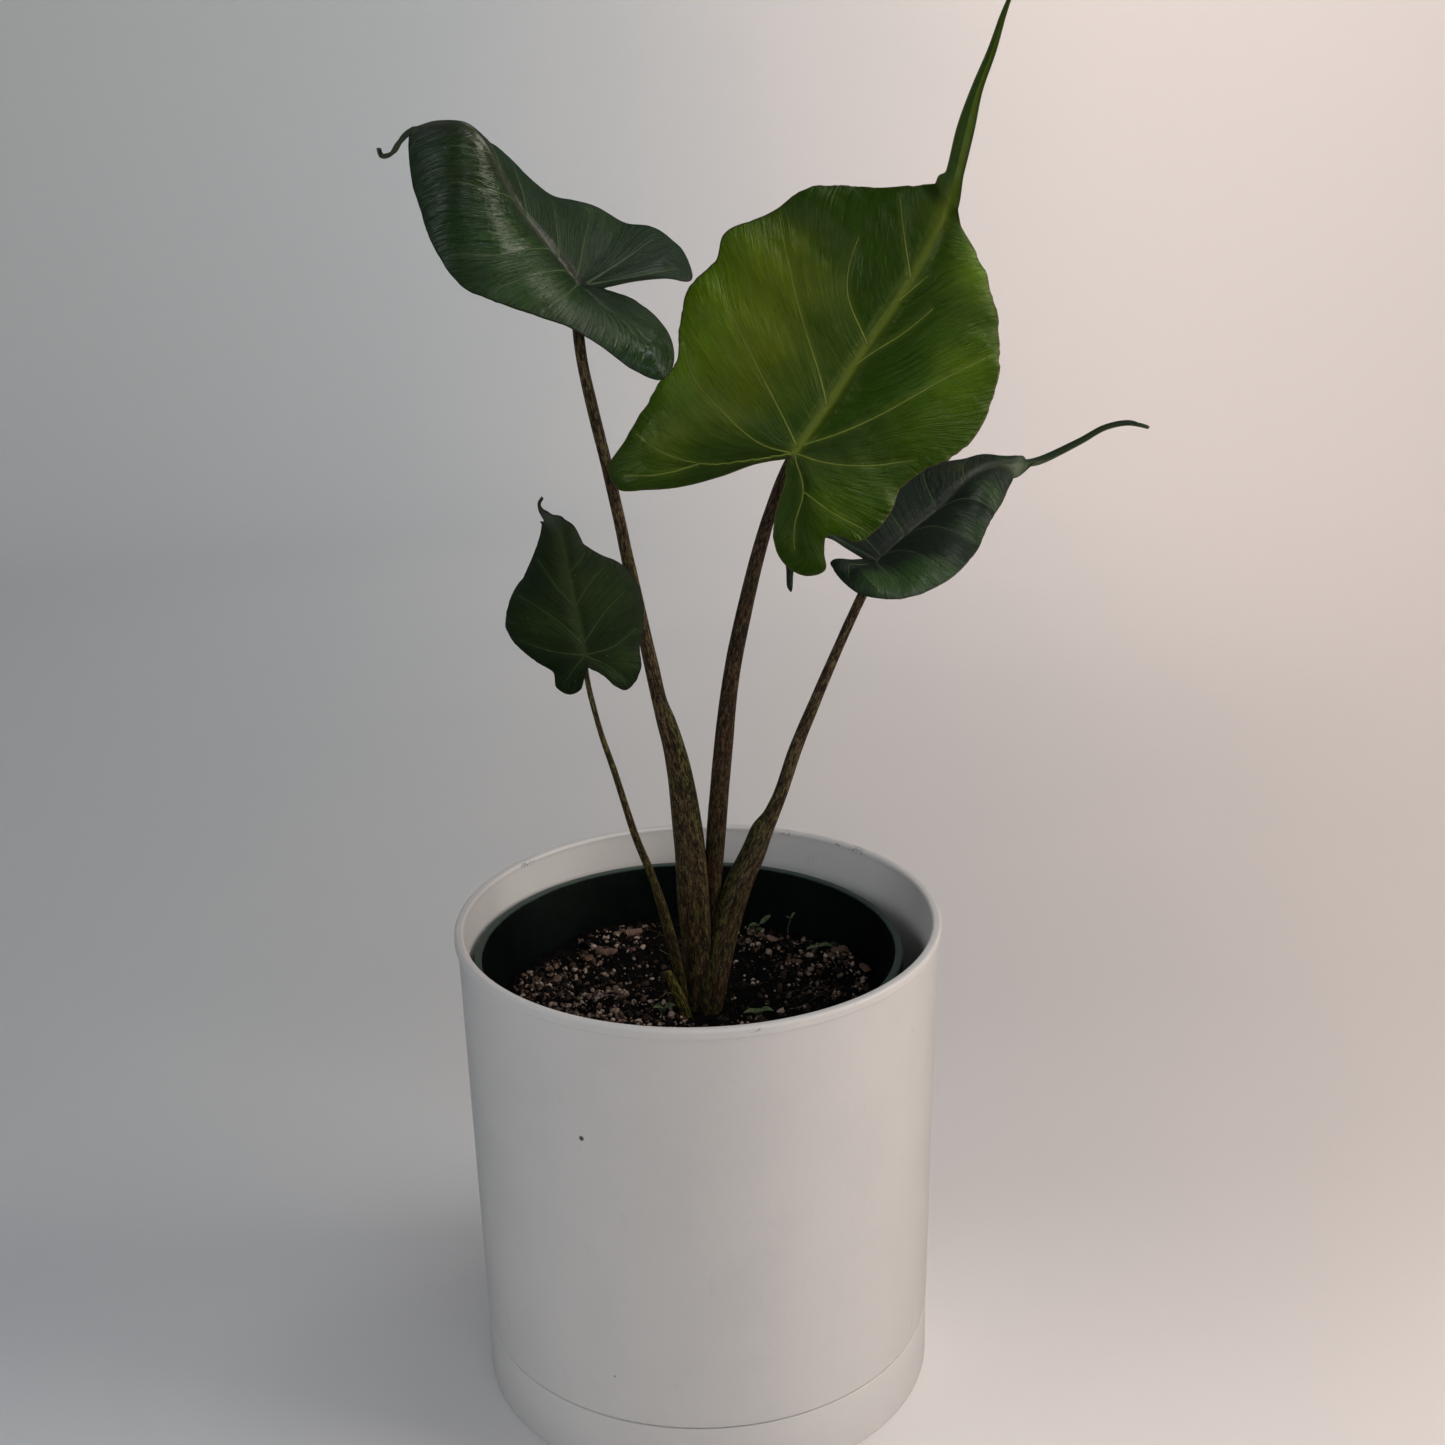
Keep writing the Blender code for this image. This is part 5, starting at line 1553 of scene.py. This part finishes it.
@dataclass
class Studio:
    """Camera, lights and a round pale sweep. The camera is fitted to the photograph's 1445 pixels."""
    frame: float = 1445.0
    focal: float = 2000.0
    distance: float = 741.4
    pitch: float = 19.4
    roll: float = -1.15
    aim: Point = (10.9, 0.0, 270.2)
    sensor: float = 36.0
    sweep_floor: float = 1400.0
    sweep_bend: float = 650.0
    sweep_top: float = 2400.0
    sweep_drop: float = 0.05
    sweep_steps: int = 96
    room_colour: Colour = (0.86, 0.92, 1.0)
    room_strength: float = 0.06

    def camera(self) -> None:
        """A camera at the aim point, backed off along its view."""
        pitch, roll = math.radians(self.pitch), math.radians(self.roll)
        forward = Vector((0.0, math.cos(pitch), -math.sin(pitch)))
        right = Vector((1.0, 0.0, 0.0))
        up = right.cross(forward)
        tilted_right = math.cos(roll) * right + math.sin(roll) * up
        tilted_up = math.cos(roll) * up - math.sin(roll) * right
        data = bpy.data.cameras.new("camera")
        data.sensor_width = self.sensor
        data.lens = self.sensor * self.focal / self.frame
        data.clip_start, data.clip_end = 0.01, 20.0
        item = bpy.data.objects.new("camera", data)
        turn = Matrix((tilted_right, tilted_up, -forward)).transposed().to_4x4()
        item.matrix_world = Matrix.Translation((Vector(self.aim) - forward * self.distance) * MM) @ turn
        bpy.context.scene.collection.objects.link(item)
        bpy.context.scene.camera = item

    def light(self, name: str, place: Point, aim: Point, size: Pair, power: float, colour: Colour) -> None:
        """A soft oblong light, hidden from the camera.

        Args:
            name: Its name.
            place: Its place, in metres.
            aim: The point that it faces, in metres.
            size: Its width and height, in metres.
            power: Its power in watts.
            colour: Its colour.
        """
        data = bpy.data.lights.new(name, "AREA")
        data.shape = "RECTANGLE"
        data.size, data.size_y = size
        data.energy = power
        data.color = colour
        item = bpy.data.objects.new(name, data)
        way = Vector(aim) - Vector(place)
        item.matrix_world = Matrix.Translation(place) @ way.to_track_quat("-Z", "Y").to_matrix().to_4x4()
        item.visible_camera = False
        bpy.context.scene.collection.objects.link(item)

    def sweep(self) -> None:
        """A flat floor that curves up into a round wall."""
        floor, bend = self.sweep_floor, self.sweep_bend
        profile = [(0, 0)] + [(r, -self.sweep_drop) for r in np.linspace(100, floor, 10)]
        profile += arc((floor, bend), bend + self.sweep_drop, -90, 0, 24)[1:]
        profile += [(floor + bend, self.sweep_top)]
        radius, height = np.asarray(profile, float).T
        points = ring_points(radius, height - self.sweep_drop, self.sweep_steps)
        points, triangles = welded(points, grid_faces(len(radius), self.sweep_steps, True))
        mesh = bpy.data.meshes.new("paper_sweep")
        mesh.from_pydata((points * MM).tolist(), [], triangles[:, ::-1].tolist())
        mesh.shade_smooth()
        mesh.materials.append(BackdropFinish().material("pale_paper"))
        item = bpy.data.objects.new("paper_sweep", mesh)
        bpy.context.scene.collection.objects.link(item)
        item.visible_glossy = False

    def build(self) -> None:
        """Make the camera, the lights, the world and the sweep."""
        self.camera()
        self.sweep()
        middle = (0.0, 0.0, 0.2)
        self.light("warm_window", (1.48, -0.22, 0.85), middle, (0.9, 0.9), 11.8, (1.0, 0.92, 0.83))
        self.light("front_glow", (0.38, -1.42, 0.92), (0.0, 0.0, 0.35), (1.0, 0.46), 2.2, (0.84, 0.92, 1.0))
        self.light("side_fill", (-1.45, -0.5, 1.05), middle, (0.7, 0.7), 3.6, (0.86, 0.93, 1.0))
        self.light("overhead", (0.55, 0.1, 1.9), middle, (0.8, 0.8), 5.5, (0.97, 0.98, 1.0))
        self.light("wall_wash", (0.45, 1.3, 1.25), (0.35, 2.05, 0.55), (0.8, 0.8), 7.5, (1.0, 0.99, 0.97))
        world = bpy.data.worlds.new("soft_room")
        world.use_nodes = True
        ground = world.node_tree.nodes["Background"]
        ground.inputs["Color"].default_value = (*self.room_colour, 1.0)
        ground.inputs["Strength"].default_value = self.room_strength
        bpy.context.scene.world = world
        bpy.context.scene.view_settings.view_transform = "Standard"


# The plant's own sizes

def leaves() -> list[Leaf]:
    """The four leaves."""
    dark = LeafFinish(deep=(0.012, 0.034, 0.008), fresh=(0.030, 0.068, 0.014), warm=(0.030, 0.040, 0.012),
                      vein=(0.070, 0.110, 0.045), band=(0.040, 0.036, 0.030), margin=(0.012, 0.014, 0.008),
                      under=(0.070, 0.105, 0.045), tail=(0.060, 0.090, 0.022),
                      tail_dark=(0.025, 0.050, 0.020), vein_share=0.45, band_share=0.75, band_reach=6.5,
                      roughness=0.48, wrinkle=1.1, shine=0.42)
    # Leaf B's fresh green is partly its own young yellow-green and partly painted light shining through the
    # blade.
    bright = LeafFinish(deep=(0.018, 0.050, 0.0003), fresh=(0.112, 0.208, 0.001), warm=(0.126, 0.150, 0.0003),
                        vein=(0.190, 0.235, 0.034), band=(0.125, 0.160, 0.006), margin=(0.075, 0.062, 0.026),
                        under=(0.14, 0.21, 0.04), tail=(0.085, 0.125, 0.002), tail_dark=(0.016, 0.045, 0.002),
                        vein_share=0.7, band_share=0.35, band_reach=5.0, roughness=0.38, wrinkle=1.1,
                        shine=0.45, blotch=0.45, grain=0.55, tint=(0.85, 1.0, 0.45))
    # Leaf C's finish: the dark finish with a deeper green, as painted shade for the leaf that stands in leaf
    # B's shade.
    shaded_dark = replace(dark, deep=(0.006, 0.016, 0.004), band_reach=5.5, band_share=0.6)
    small = LeafFinish(deep=(0.005, 0.017, 0.0006), fresh=(0.017, 0.038, 0.002), warm=(0.024, 0.034, 0.002),
                       vein=(0.040, 0.072, 0.016), band=(0.030, 0.042, 0.006), margin=(0.008, 0.012, 0.005),
                       under=(0.070, 0.105, 0.045), tail=(0.050, 0.060, 0.040), tail_dark=(0.03, 0.04, 0.03),
                       vein_share=0.5, band_share=0.3, roughness=0.55, speckle=0.6, wrinkle=0.8, shine=0.2)
    return [
        Leaf(
            "leaf_a", dark, Slot.DARK_LEAF, hub=(-36, 0, 431), heading=-166, pitch=45, roll=-46, seed=3,
            midrib=((13.5, 0, 3), (32, 0, 7), (47, 0, 14), (55, 0, 18), (64, 0, 18.5), (71, 0, 11),
                    (75, 0, 0)),
            left=Half(
                inner=((-7, -2, 5), (-15, -4, 8), (-25, -3.2, 11)),
                tip=((-31, 1.5, 14.5), (-36.7, 7, 15), (-39, 16, 15), (-37, 22, 14.5)),
                outer=((-31, 23.8, 12.5), (-15.5, 23, 8.5), (-4, 24.5, 6.5)),
                side=((15, 31, 2), (33, 34, -4), (48.5, 25, -7), (63.5, 13, -6), (71.5, 5, -3), (75, 2.5, 0)),
                axis_end=(-27, 14, 14), belly=0.15,
                veins=(((15, 0.3), (22.8, 12), (33, 24.4), (42.3, 28.6)),
                       ((36, 0.3), (47.5, 10.4), (57, 14.6)),
                       ((0.5, 0.5), (5, 19.4), (7, 25)), ((-1, 0.3), (-12, 5), (-21, 9.5), (-28, 15)),
                       ((52, 0.3), (58, 4.6), (64, 7)), ((5, 0.3), (15, 16), (24, 30)),
                       ((-15, 6.5), (-19, 14), (-20, 20)))),
            right=Half(
                inner=((-7, -2, 5), (-13, -9, 9), (-23, -20, 12)),
                tip=((-32, -29, 12), (-27.5, -37, 10.5)),
                outer=((-21, -44, 6), (-14, -48, 1), (-5.5, -44.5, -4)),
                side=((5, -43.5, -7), (13.5, -39, -8), (21, -34, -9), (33, -32, -9), (45, -31, -9),
                      (56, -27, -10), (66, -16, -8), (74.5, -3, -2)),
                axis_end=(-19, -27, 10), belly=0.04,
                veins=(((11, -0.3), (17, -11), (21.6, -27.7)), ((1.5, -0.3), (5, -15.7), (7.5, -36.6)),
                       ((-2, -0.6), (-9.1, -21.1), (-15, -40)), ((-2.5, -1), (-14.2, -13.5), (-25.4, -28)),
                       ((28, -0.3), (36, -12), (42, -25)), ((46, -0.3), (53, -9), (59, -19)))),
            tail=((75, 0.5, -7, 1.9), (74, 1, -15, 1.2), (75.5, 1, -17.5, 0.8), (77.5, 1, -16, 0.6)),
            bright_spots=((20, 18, 24, 0.7), (-22, 12, 14, 0.6), (5, -34, 14, 0.4), (62, -4, 8, 0.8),
                          (14, -11, 15, -1.0)),
            warm_spots=((52, 8, 12, 0.5), (22, 6, 12, 0.4)),
            gloss_spots=((42, 14, 16, 1.0), (24, 18, 16, 1.0), (60, 3, 11, 0.9), (8, 12, 14, 0.6),
                         (-27, 14, 13, 1.0), (-37, 16, 9, 0.7)),
            quilt=0.3, wave=0.5, tail_steps=34, shoulder=0.2),
        Leaf(
            "leaf_b", bright, Slot.BRIGHT_LEAF, hub=(37, -30, 377), heading=20, pitch=55, roll=48, seed=8,
            midrib=((20, -1, -2), (43, -1, -4), (64, -2, -4.5), (78, -2, -4), (88, -1.5, -2.5), (98, 0, 0)),
            left=Half(
                inner=((-3, 1, 0), (-9, 9, -1), (-20, 19, -2), (-30, 30, -4)),
                tip=((-37, 41, -6), (-42, 51, -8), (-38, 58, -9)),
                outer=((-25, 58, -9), (-13, 57.8, -7.5), (-3, 58.2, -7)),
                side=((4, 55.5, -6), (14.5, 60, -5), (30.5, 65, -4), (44.5, 63, -6), (52, 64, -4),
                      (61.5, 59, -6), (70, 53.5, -8), (78, 50, -6), (84.5, 42, -7), (92, 24.5, -4),
                      (97.5, 13.5, -1), (101, 6.5, 1)),
                axis_end=(-31, 43, -4), belly=0.05,
                veins=(((-0.2, 0.5), (-9.3, 12), (-19.3, 27.4), (-23, 43), (-22, 56)),
                       ((-19.3, 27.4), (-29.5, 38.1), (-37, 51)),
                       ((-0.5, 1), (-2.8, 9.2), (-0.3, 30.1), (5.8, 48.3), (13.8, 57)),
                       ((2, -0.1), (5, 4.5), (19.7, 28.8), (31.5, 47.4), (44.6, 61)),
                       ((19, -0.9), (24, 4), (39.2, 21.6), (49.9, 33.1), (68, 52)),
                       ((44, -1), (57.5, 15.7), (66.1, 19.6), (74, 21)),
                       ((70, -2), (80.5, 6.7), (92, 16)))),
            right=Half(
                inner=((-3, 1, 0), (-13, -3, 0), (-23, -5.5, -2), (-30, -10, -4)),
                tip=((-34, -17.5, -7), (-33, -24, -10), (-28, -28, -10)),
                outer=((-23, -25.5, -6), (-18.5, -24.5, -3), (-16, -28.5, -2), (-15, -34, -3)),
                side=((-9, -37, -5), (-0.5, -38, -6), (9.5, -37, -7), (18, -40, -8), (27, -46, -10),
                      (40, -47.5, -13), (52, -45, -14), (67, -38.5, -13), (80.5, -27, -11),
                      (86.5, -19.5, -9), (90.5, -12.5, -7), (94, -7, -4), (97.5, -4.2, -1)),
                axis_end=(-26, -14, -3), belly=0.08,
                veins=(((3, -0.2), (10, -7), (27.8, -19.5), (47.6, -29.7), (63, -38)),
                       ((0.2, -0.5), (1.5, -8), (6.5, -20), (18.8, -35.6)),
                       ((-0.5, -0.5), (-9.5, -10.1), (-20.6, -12.9), (-28, -17)),
                       ((-9.5, -10.1), (-10.6, -24), (-9.7, -34)),
                       ((36, -1), (41.4, -3.5), (53.8, -9.8), (65.6, -14)), ((62, -2), (74, -6.5)))),
            tail=((110, 3.5, 1, 3.1), (121, 7, 2, 3.1), (133.5, 10.5, 3, 2.1), (147.5, 13, 4, 1.5),
                  (160, 16, 5, 0.9), (165, 17, 5, 0.6)),
            bright_spots=((30, 48, 42, 0.42), (10, 52, 18, 0.4), (44, 56, 16, 0.35), (84, -20, 13, 0.5),
                          (54, -32, 16, 0.4), (26, -34, 16, 0.3), (-8, -22, 14, 0.35), (-26, 44, 14, 0.25)),
            warm_spots=((34, 34, 34, 0.55), (4, 28, 16, 0.25), (-20, 42, 14, 0.35), (60, 42, 16, 0.2),
                        (92, 2, 10, 0.4)),
            gloss_spots=((24, -28, 14, 1.0), (36, -38, 14, 1.0), (-8, -30, 13, 1.0), (4, 58, 10, 1.0),
                         (-20, 54, 10, 0.8), (58, -34, 11, 0.9), (26, 58, 11, 1.0)),
            quilt=0.6, wave=0.7, fray=0.7, cord=0.27, crest=0.56, side_steps=170, tail_steps=60, rows=56,
            shoulder=0.13),
        Leaf(
            "leaf_c", shaded_dark, Slot.DARK_LEAF, hub=(72, 40, 320), heading=36, pitch=30, roll=0, seed=12,
            midrib=((14, 0, 0), (34, 0, -1.5), (55.5, 0, -1.5), (66, 0, -5), (74.5, 0, -11)),
            left=Half(
                inner=((-5, 1.5, 5), (-7, 6, 10.5), (-9, 12, 16.5)),
                tip=((-14.5, 20.4, 15), (-23, 23, 8), (-29, 21.4, 3), (-27.5, 25, 3), (-22, 29, 7)),
                outer=((-14, 38, 9), (4, 46, 9), (20, 47, 8)),
                side=((41, 39, 5), (55, 25, 0), (65, 16.5, -4), (73, 14, -8), (76, 7.5, -10), (79, 2, -11)),
                axis_end=(-5, 31, 18), belly=0.06,
                veins=(((-0.5, 0.5), (-4, 15), (-6, 32)), ((-3, 11), (-12, 20), (-24, 24)),
                       ((2, 0.3), (7, 20), (9, 41)), ((15, 0.3), (24, 20), (31, 39)),
                       ((33, 0.3), (42, 14), (51, 25)), ((50, 0.3), (57, 8), (65, 14)))),
            right=Half(
                inner=((-5, 1.5, 5), (-12, -1.5, 11), (-19, -1, 16)),
                tip=((-23, -7, 17), (-27, -18, 15.5), (-28, -27, 14)),
                outer=((-25, -35, 12), (-18, -39, 8)),
                side=((-3, -41, 3), (18, -35, -2), (39, -21, -7), (57, -10, -12), (69.5, -2, -14)),
                axis_end=(-19, -15, 16), belly=0.14,
                veins=(((-0.5, -0.3), (-8.8, -13), (-14, -26), (-18, -35)), ((1, -0.3), (2, -14), (1.2, -38)),
                       ((14, -0.3), (19, -12), (22, -30)), ((-9, -8), (-20, -13), (-25, -18)),
                       ((32, -0.3), (39, -8), (44, -17)))),
            tail=((86, 0, -18.5, 2.6), (102, -9, -19, 1.7), (111, -15, -18, 1.4), (116, -24, -18, 1.3),
                  (117, -32, -19, 0.9)),
            bright_spots=((-4, -38, 13, 1.0), (52, -12, 10, 0.6), (-20, -30, 11, 0.8), (76, 0, 10, 0.6),
                          (28, -27, 9, 0.6), (12, -18, 10, -0.4)),
            warm_spots=((56, 8, 14, 0.7), (20, 4, 12, 0.4)),
            gloss_spots=((46, -17, 11, 0.5), (22, -30, 12, 0.4), (-14, -36, 12, 0.6), (0, -33, 10, 0.4)),
            quilt=0.5, wave=0.6),
        Leaf(
            "leaf_d", small, Slot.DARK_LEAF, hub=(-36, -40, 310), heading=129, pitch=73, roll=-33, seed=17,
            midrib=((16, 0, 0.5), (31, 0, 1), (39, 0, 1), (44, 0, 0.5)),
            left=Half(
                inner=((-4.5, 0, 0), (-8, 2, -1), (-11.5, 4, -2.5)),
                tip=((-12.5, 8, -4), (-9.5, 12, -4.5)),
                outer=((-4, 12, -3.5), (1.5, 17.5, -3.5)),
                side=((9, 23, -4), (15.5, 25, -5), (22, 22.5, -4.5), (27, 19, -4.5), (31, 15, -3.5),
                      (39, 9, -2), (44.5, 6, -1), (47, 5, 0)),
                axis_end=(-7, 6.5, -2), belly=0.05,
                veins=(((4, 0.2), (12, 5.5), (20, 13), (25, 18.5)), ((0, 0.3), (3.7, 11.1), (9.7, 21.1)),
                       ((17, 0.3), (28, 6), (36, 9)), ((-0.3, 0.3), (-4.1, 5), (-8.4, 9.4)))),
            right=Half(
                inner=((-4.5, 0, 0), (-8.5, -4.5, -0.5), (-13, -8, -1.5)),
                tip=((-15, -11, -2.5), (-13, -15, -3.5)),
                outer=((-8.5, -18, -3), (-2.5, -19, -3)),
                side=((6, -22, -4), (14, -23.5, -4.5), (20, -23, -4.5), (28, -19, -3.5), (33, -12, -2),
                      (37, -8, -1.5), (45, -5, 0), (47, -3, 1)),
                axis_end=(-8, -9, -1.5), belly=0.05,
                veins=(((4, -0.2), (13.7, -10.4), (19, -18.6)), ((0, -0.3), (0.8, -9.8), (4.9, -18.5)),
                       ((17, -0.2), (23.6, -6.3), (28.5, -13)), ((-0.3, -0.3), (-6.4, -7.9), (-12.2, -11.9)),
                       ((29, -0.1), (31.6, -4.4), (34.5, -7.5)))),
            tail=((49.5, 3, 0.5, 1.6), (52, 4.5, 1.5, 0.75), (54, 4.4, 3, 0.5), (55.5, 3, 4, 0.4)),
            bright_spots=((14, 12, 12, 0.5), (20, -12, 12, 0.6), (-5, -12, 8, 0.7)),
            warm_spots=((17, -6, 9, 0.4), (28, 2, 8, 0.4)),
            quilt=0.3, wave=0.25, rib=0.8, groove=0.3, cord=0.18, shoulder=0.4, inner_steps=18,
            tip_steps=24, side_steps=80, tail_steps=24, rows=44),
    ]


def stalks() -> list[Stalk]:
    """The four leaf stalks and the stump of an old one."""
    brown = StalkFinish(sheath_low=215.0, sheath_high=262.0)
    clad = StalkFinish(sheath=(0.092, 0.096, 0.018))
    shade = StalkFinish(ground=(0.105, 0.068, 0.034), olive=(0.070, 0.068, 0.022),
                        blush=(0.060, 0.022, 0.012))
    green = StalkFinish(ground=(0.130, 0.105, 0.034), olive=(0.095, 0.100, 0.022))
    stump = StalkFinish(ground=(0.160, 0.150, 0.030), olive=(0.130, 0.150, 0.022),
                        blush=(0.100, 0.060, 0.016), foot_z=90.0)
    return [
        Stalk("petiole_c", (
            (4, -4, 151.8, 3.6, 3.9, 3.6), (6, -2, 166, 5.0, 5.2, 4.2), (9.9, 1, 184, 5.3, 5.4, 4.4),
            (15.6, 4, 202, 5.1, 5.2, 4.2), (22.8, 8, 215, 5.2, 4.0, 3.6), (26.8, 11, 223, 5.0, 3.2, 3.1),
            (29, 12.6, 227.5, 3.4, 2.9, 2.9), (31, 14, 232, 2.8, 2.8, 2.8), (38.5, 20, 251.5, 2.5, 2.5, 2.5),
            (50.3, 28, 277, 2.1, 2.1, 2.1), (57.1, 33, 291, 1.9, 1.9, 1.9), (65.2, 38, 307, 1.9, 1.9, 1.9),
            (71.6, 40.2, 319.3, 1.7, 1.7, 1.7)), clad, crease=258, crease_top=229, wing=(-1, 80), seed=4),
        Stalk("petiole_stub", (
            (-5, -7, 151.8, 2.1, 2.1, 2.0), (-7.6, -8, 160.9, 2.2, 2.1, 1.9),
            (-10.2, -9, 168, 1.9, 1.9, 1.5), (-12, -10, 173.6, 1.4, 1.4, 0.8)), stump, seed=6, rings=60,
            sides=28),
        Stalk("petiole_d", (
            (-5.4, -2.5, 151.8, 1.6, 1.6, 1.8), (-7, -4.5, 165, 2.0, 2.0, 2.0),
            (-9, -8, 179.2, 2.1, 2.1, 2.0), (-12.9, -13, 200.5, 2.0, 2.0, 1.9),
            (-16.6, -17.6, 217, 1.6, 1.6, 1.6), (-21.2, -22, 232.6, 1.4, 1.4, 1.4),
            (-27.6, -30.5, 261.5, 1.2, 1.2, 1.2), (-33.1, -37, 285.1, 1.15, 1.15, 1.15),
            (-36.1, -38.6, 304, 0.95, 0.95, 0.95), (-36.1, -39.2, 309, 0.9, 0.9, 0.9)), green, seed=9,
            sides=28),
        Stalk("petiole_a", (
            (-1, -1, 151.8, 4.6, 4.6, 4.3), (-0.7, -1, 174, 5.4, 5.4, 4.6), (-1.7, -1, 195, 6.0, 6.0, 4.8),
            (-2.8, -1, 223, 5.6, 5.6, 4.4), (-4.5, -1, 242, 4.9, 4.9, 4.0), (-8, -1, 262, 3.6, 4.2, 3.4),
            (-10.7, -1, 273, 3.1, 3.4, 3.0), (-12, -1, 279, 2.8, 2.7, 2.7), (-14.9, -1, 294, 2.5, 2.5, 2.5),
            (-21.3, -0.5, 329, 2.3, 2.3, 2.3), (-27.3, 0, 362.4, 2.1, 2.1, 2.1),
            (-31.8, 0, 384, 2.1, 2.1, 2.1), (-36.5, 0.5, 415.5, 2.0, 2.0, 2.0),
            (-36.3, 0.4, 430, 1.9, 1.9, 1.9)), brown, crease=287, crease_top=279, wing=(1, 80), seed=2),
        Stalk("petiole_b", (
            (2.5, 4, 151.8, 2.7, 2.7, 2.7), (3, 5, 170.5, 3.1, 3.1, 3.1), (5.1, 4, 196.5, 3.4, 3.4, 3.3),
            (7.5, 0, 223, 3.6, 3.6, 3.4), (11, -7, 263, 3.4, 3.4, 3.2), (14.2, -12, 290.6, 3.1, 3.1, 3.0),
            (20.4, -17.5, 322.3, 2.65, 2.65, 2.6), (28.7, -23.5, 354.3, 2.2, 2.2, 2.2),
            (34.4, -27, 371, 1.8, 1.8, 1.8), (36.7, -29.6, 376.3, 1.7, 1.7, 1.7)), shade, seed=14),
    ]


def weeds(peat: Peat) -> list[Sprig]:
    """The weed seedlings; each leaf is its place up the stem, length, width, heading, rise and curl."""
    return [
        Sprig("seedling_1", (24, 65), ((1.0, 6.0, 3.2, 20, 15, -0.6), (0.95, 4.5, 2.6, 190, 10, 0.4),
                                       (0.7, 3.5, 2.0, 300, 20, 0.3)), 4.0, peat),
        Sprig("seedling_2", (37, 62), ((1.0, 3.2, 1.3, 20, 60, 0.2), (1.0, 2.6, 1.1, 200, 40, 0.3)),
              6.5, peat, stem=0.25),
        Sprig("seedling_3", (47, 36), ((1.0, 7.0, 2.6, 10, 20, 1.0), (0.9, 4.5, 2.2, 185, 15, 0.8)),
              3.0, peat),
        Sprig("seedling_4", (22, -9), ((1.0, 5.5, 3.0, 0, 20, 0.6), (0.9, 6.0, 3.0, 175, 15, 0.7),
                                       (0.8, 4.0, 2.6, 60, 25, 0.5), (0.8, 4.5, 2.6, 120, 20, 0.5),
                                       (0.6, 4.0, 2.4, 250, 15, 0.4), (0.7, 3.6, 2.2, 310, 20, 0.5)),
              3.6, peat),
        Sprig("seedling_5", (-14.5, -9.5), ((1.0, 4.6, 3.4, 200, 30, 0.5), (1.0, 4.6, 3.2, 10, 30, 0.6),
                                            (0.8, 3.0, 2.2, 100, 20, 0.4)), 3.2, peat),
    ]


def carried_over(nodes: dict) -> None:
    """Dress the corm's node, which keeps its own shape."""
    corm = CrumbFinish((0.030, 0.018, 0.010), (0.085, 0.050, 0.026), (0.16, 0.11, 0.06)).material("corm_skin")
    nodes["rootstock"].data.materials.clear()
    nodes["rootstock"].data.materials.append(corm)


def main() -> None:
    """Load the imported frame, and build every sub-assembly round it."""
    logging.basicConfig(level=logging.INFO, format="%(message)s")
    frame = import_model()
    carried_over(frame["nodes"])
    pot = GrowerPot()
    peat = Peat(pot)
    for group in (Planter(), pot, peat, *leaves(), *stalks(), *weeds(peat), Studio()):
        group.build()


if __name__ == "__main__":
    main()
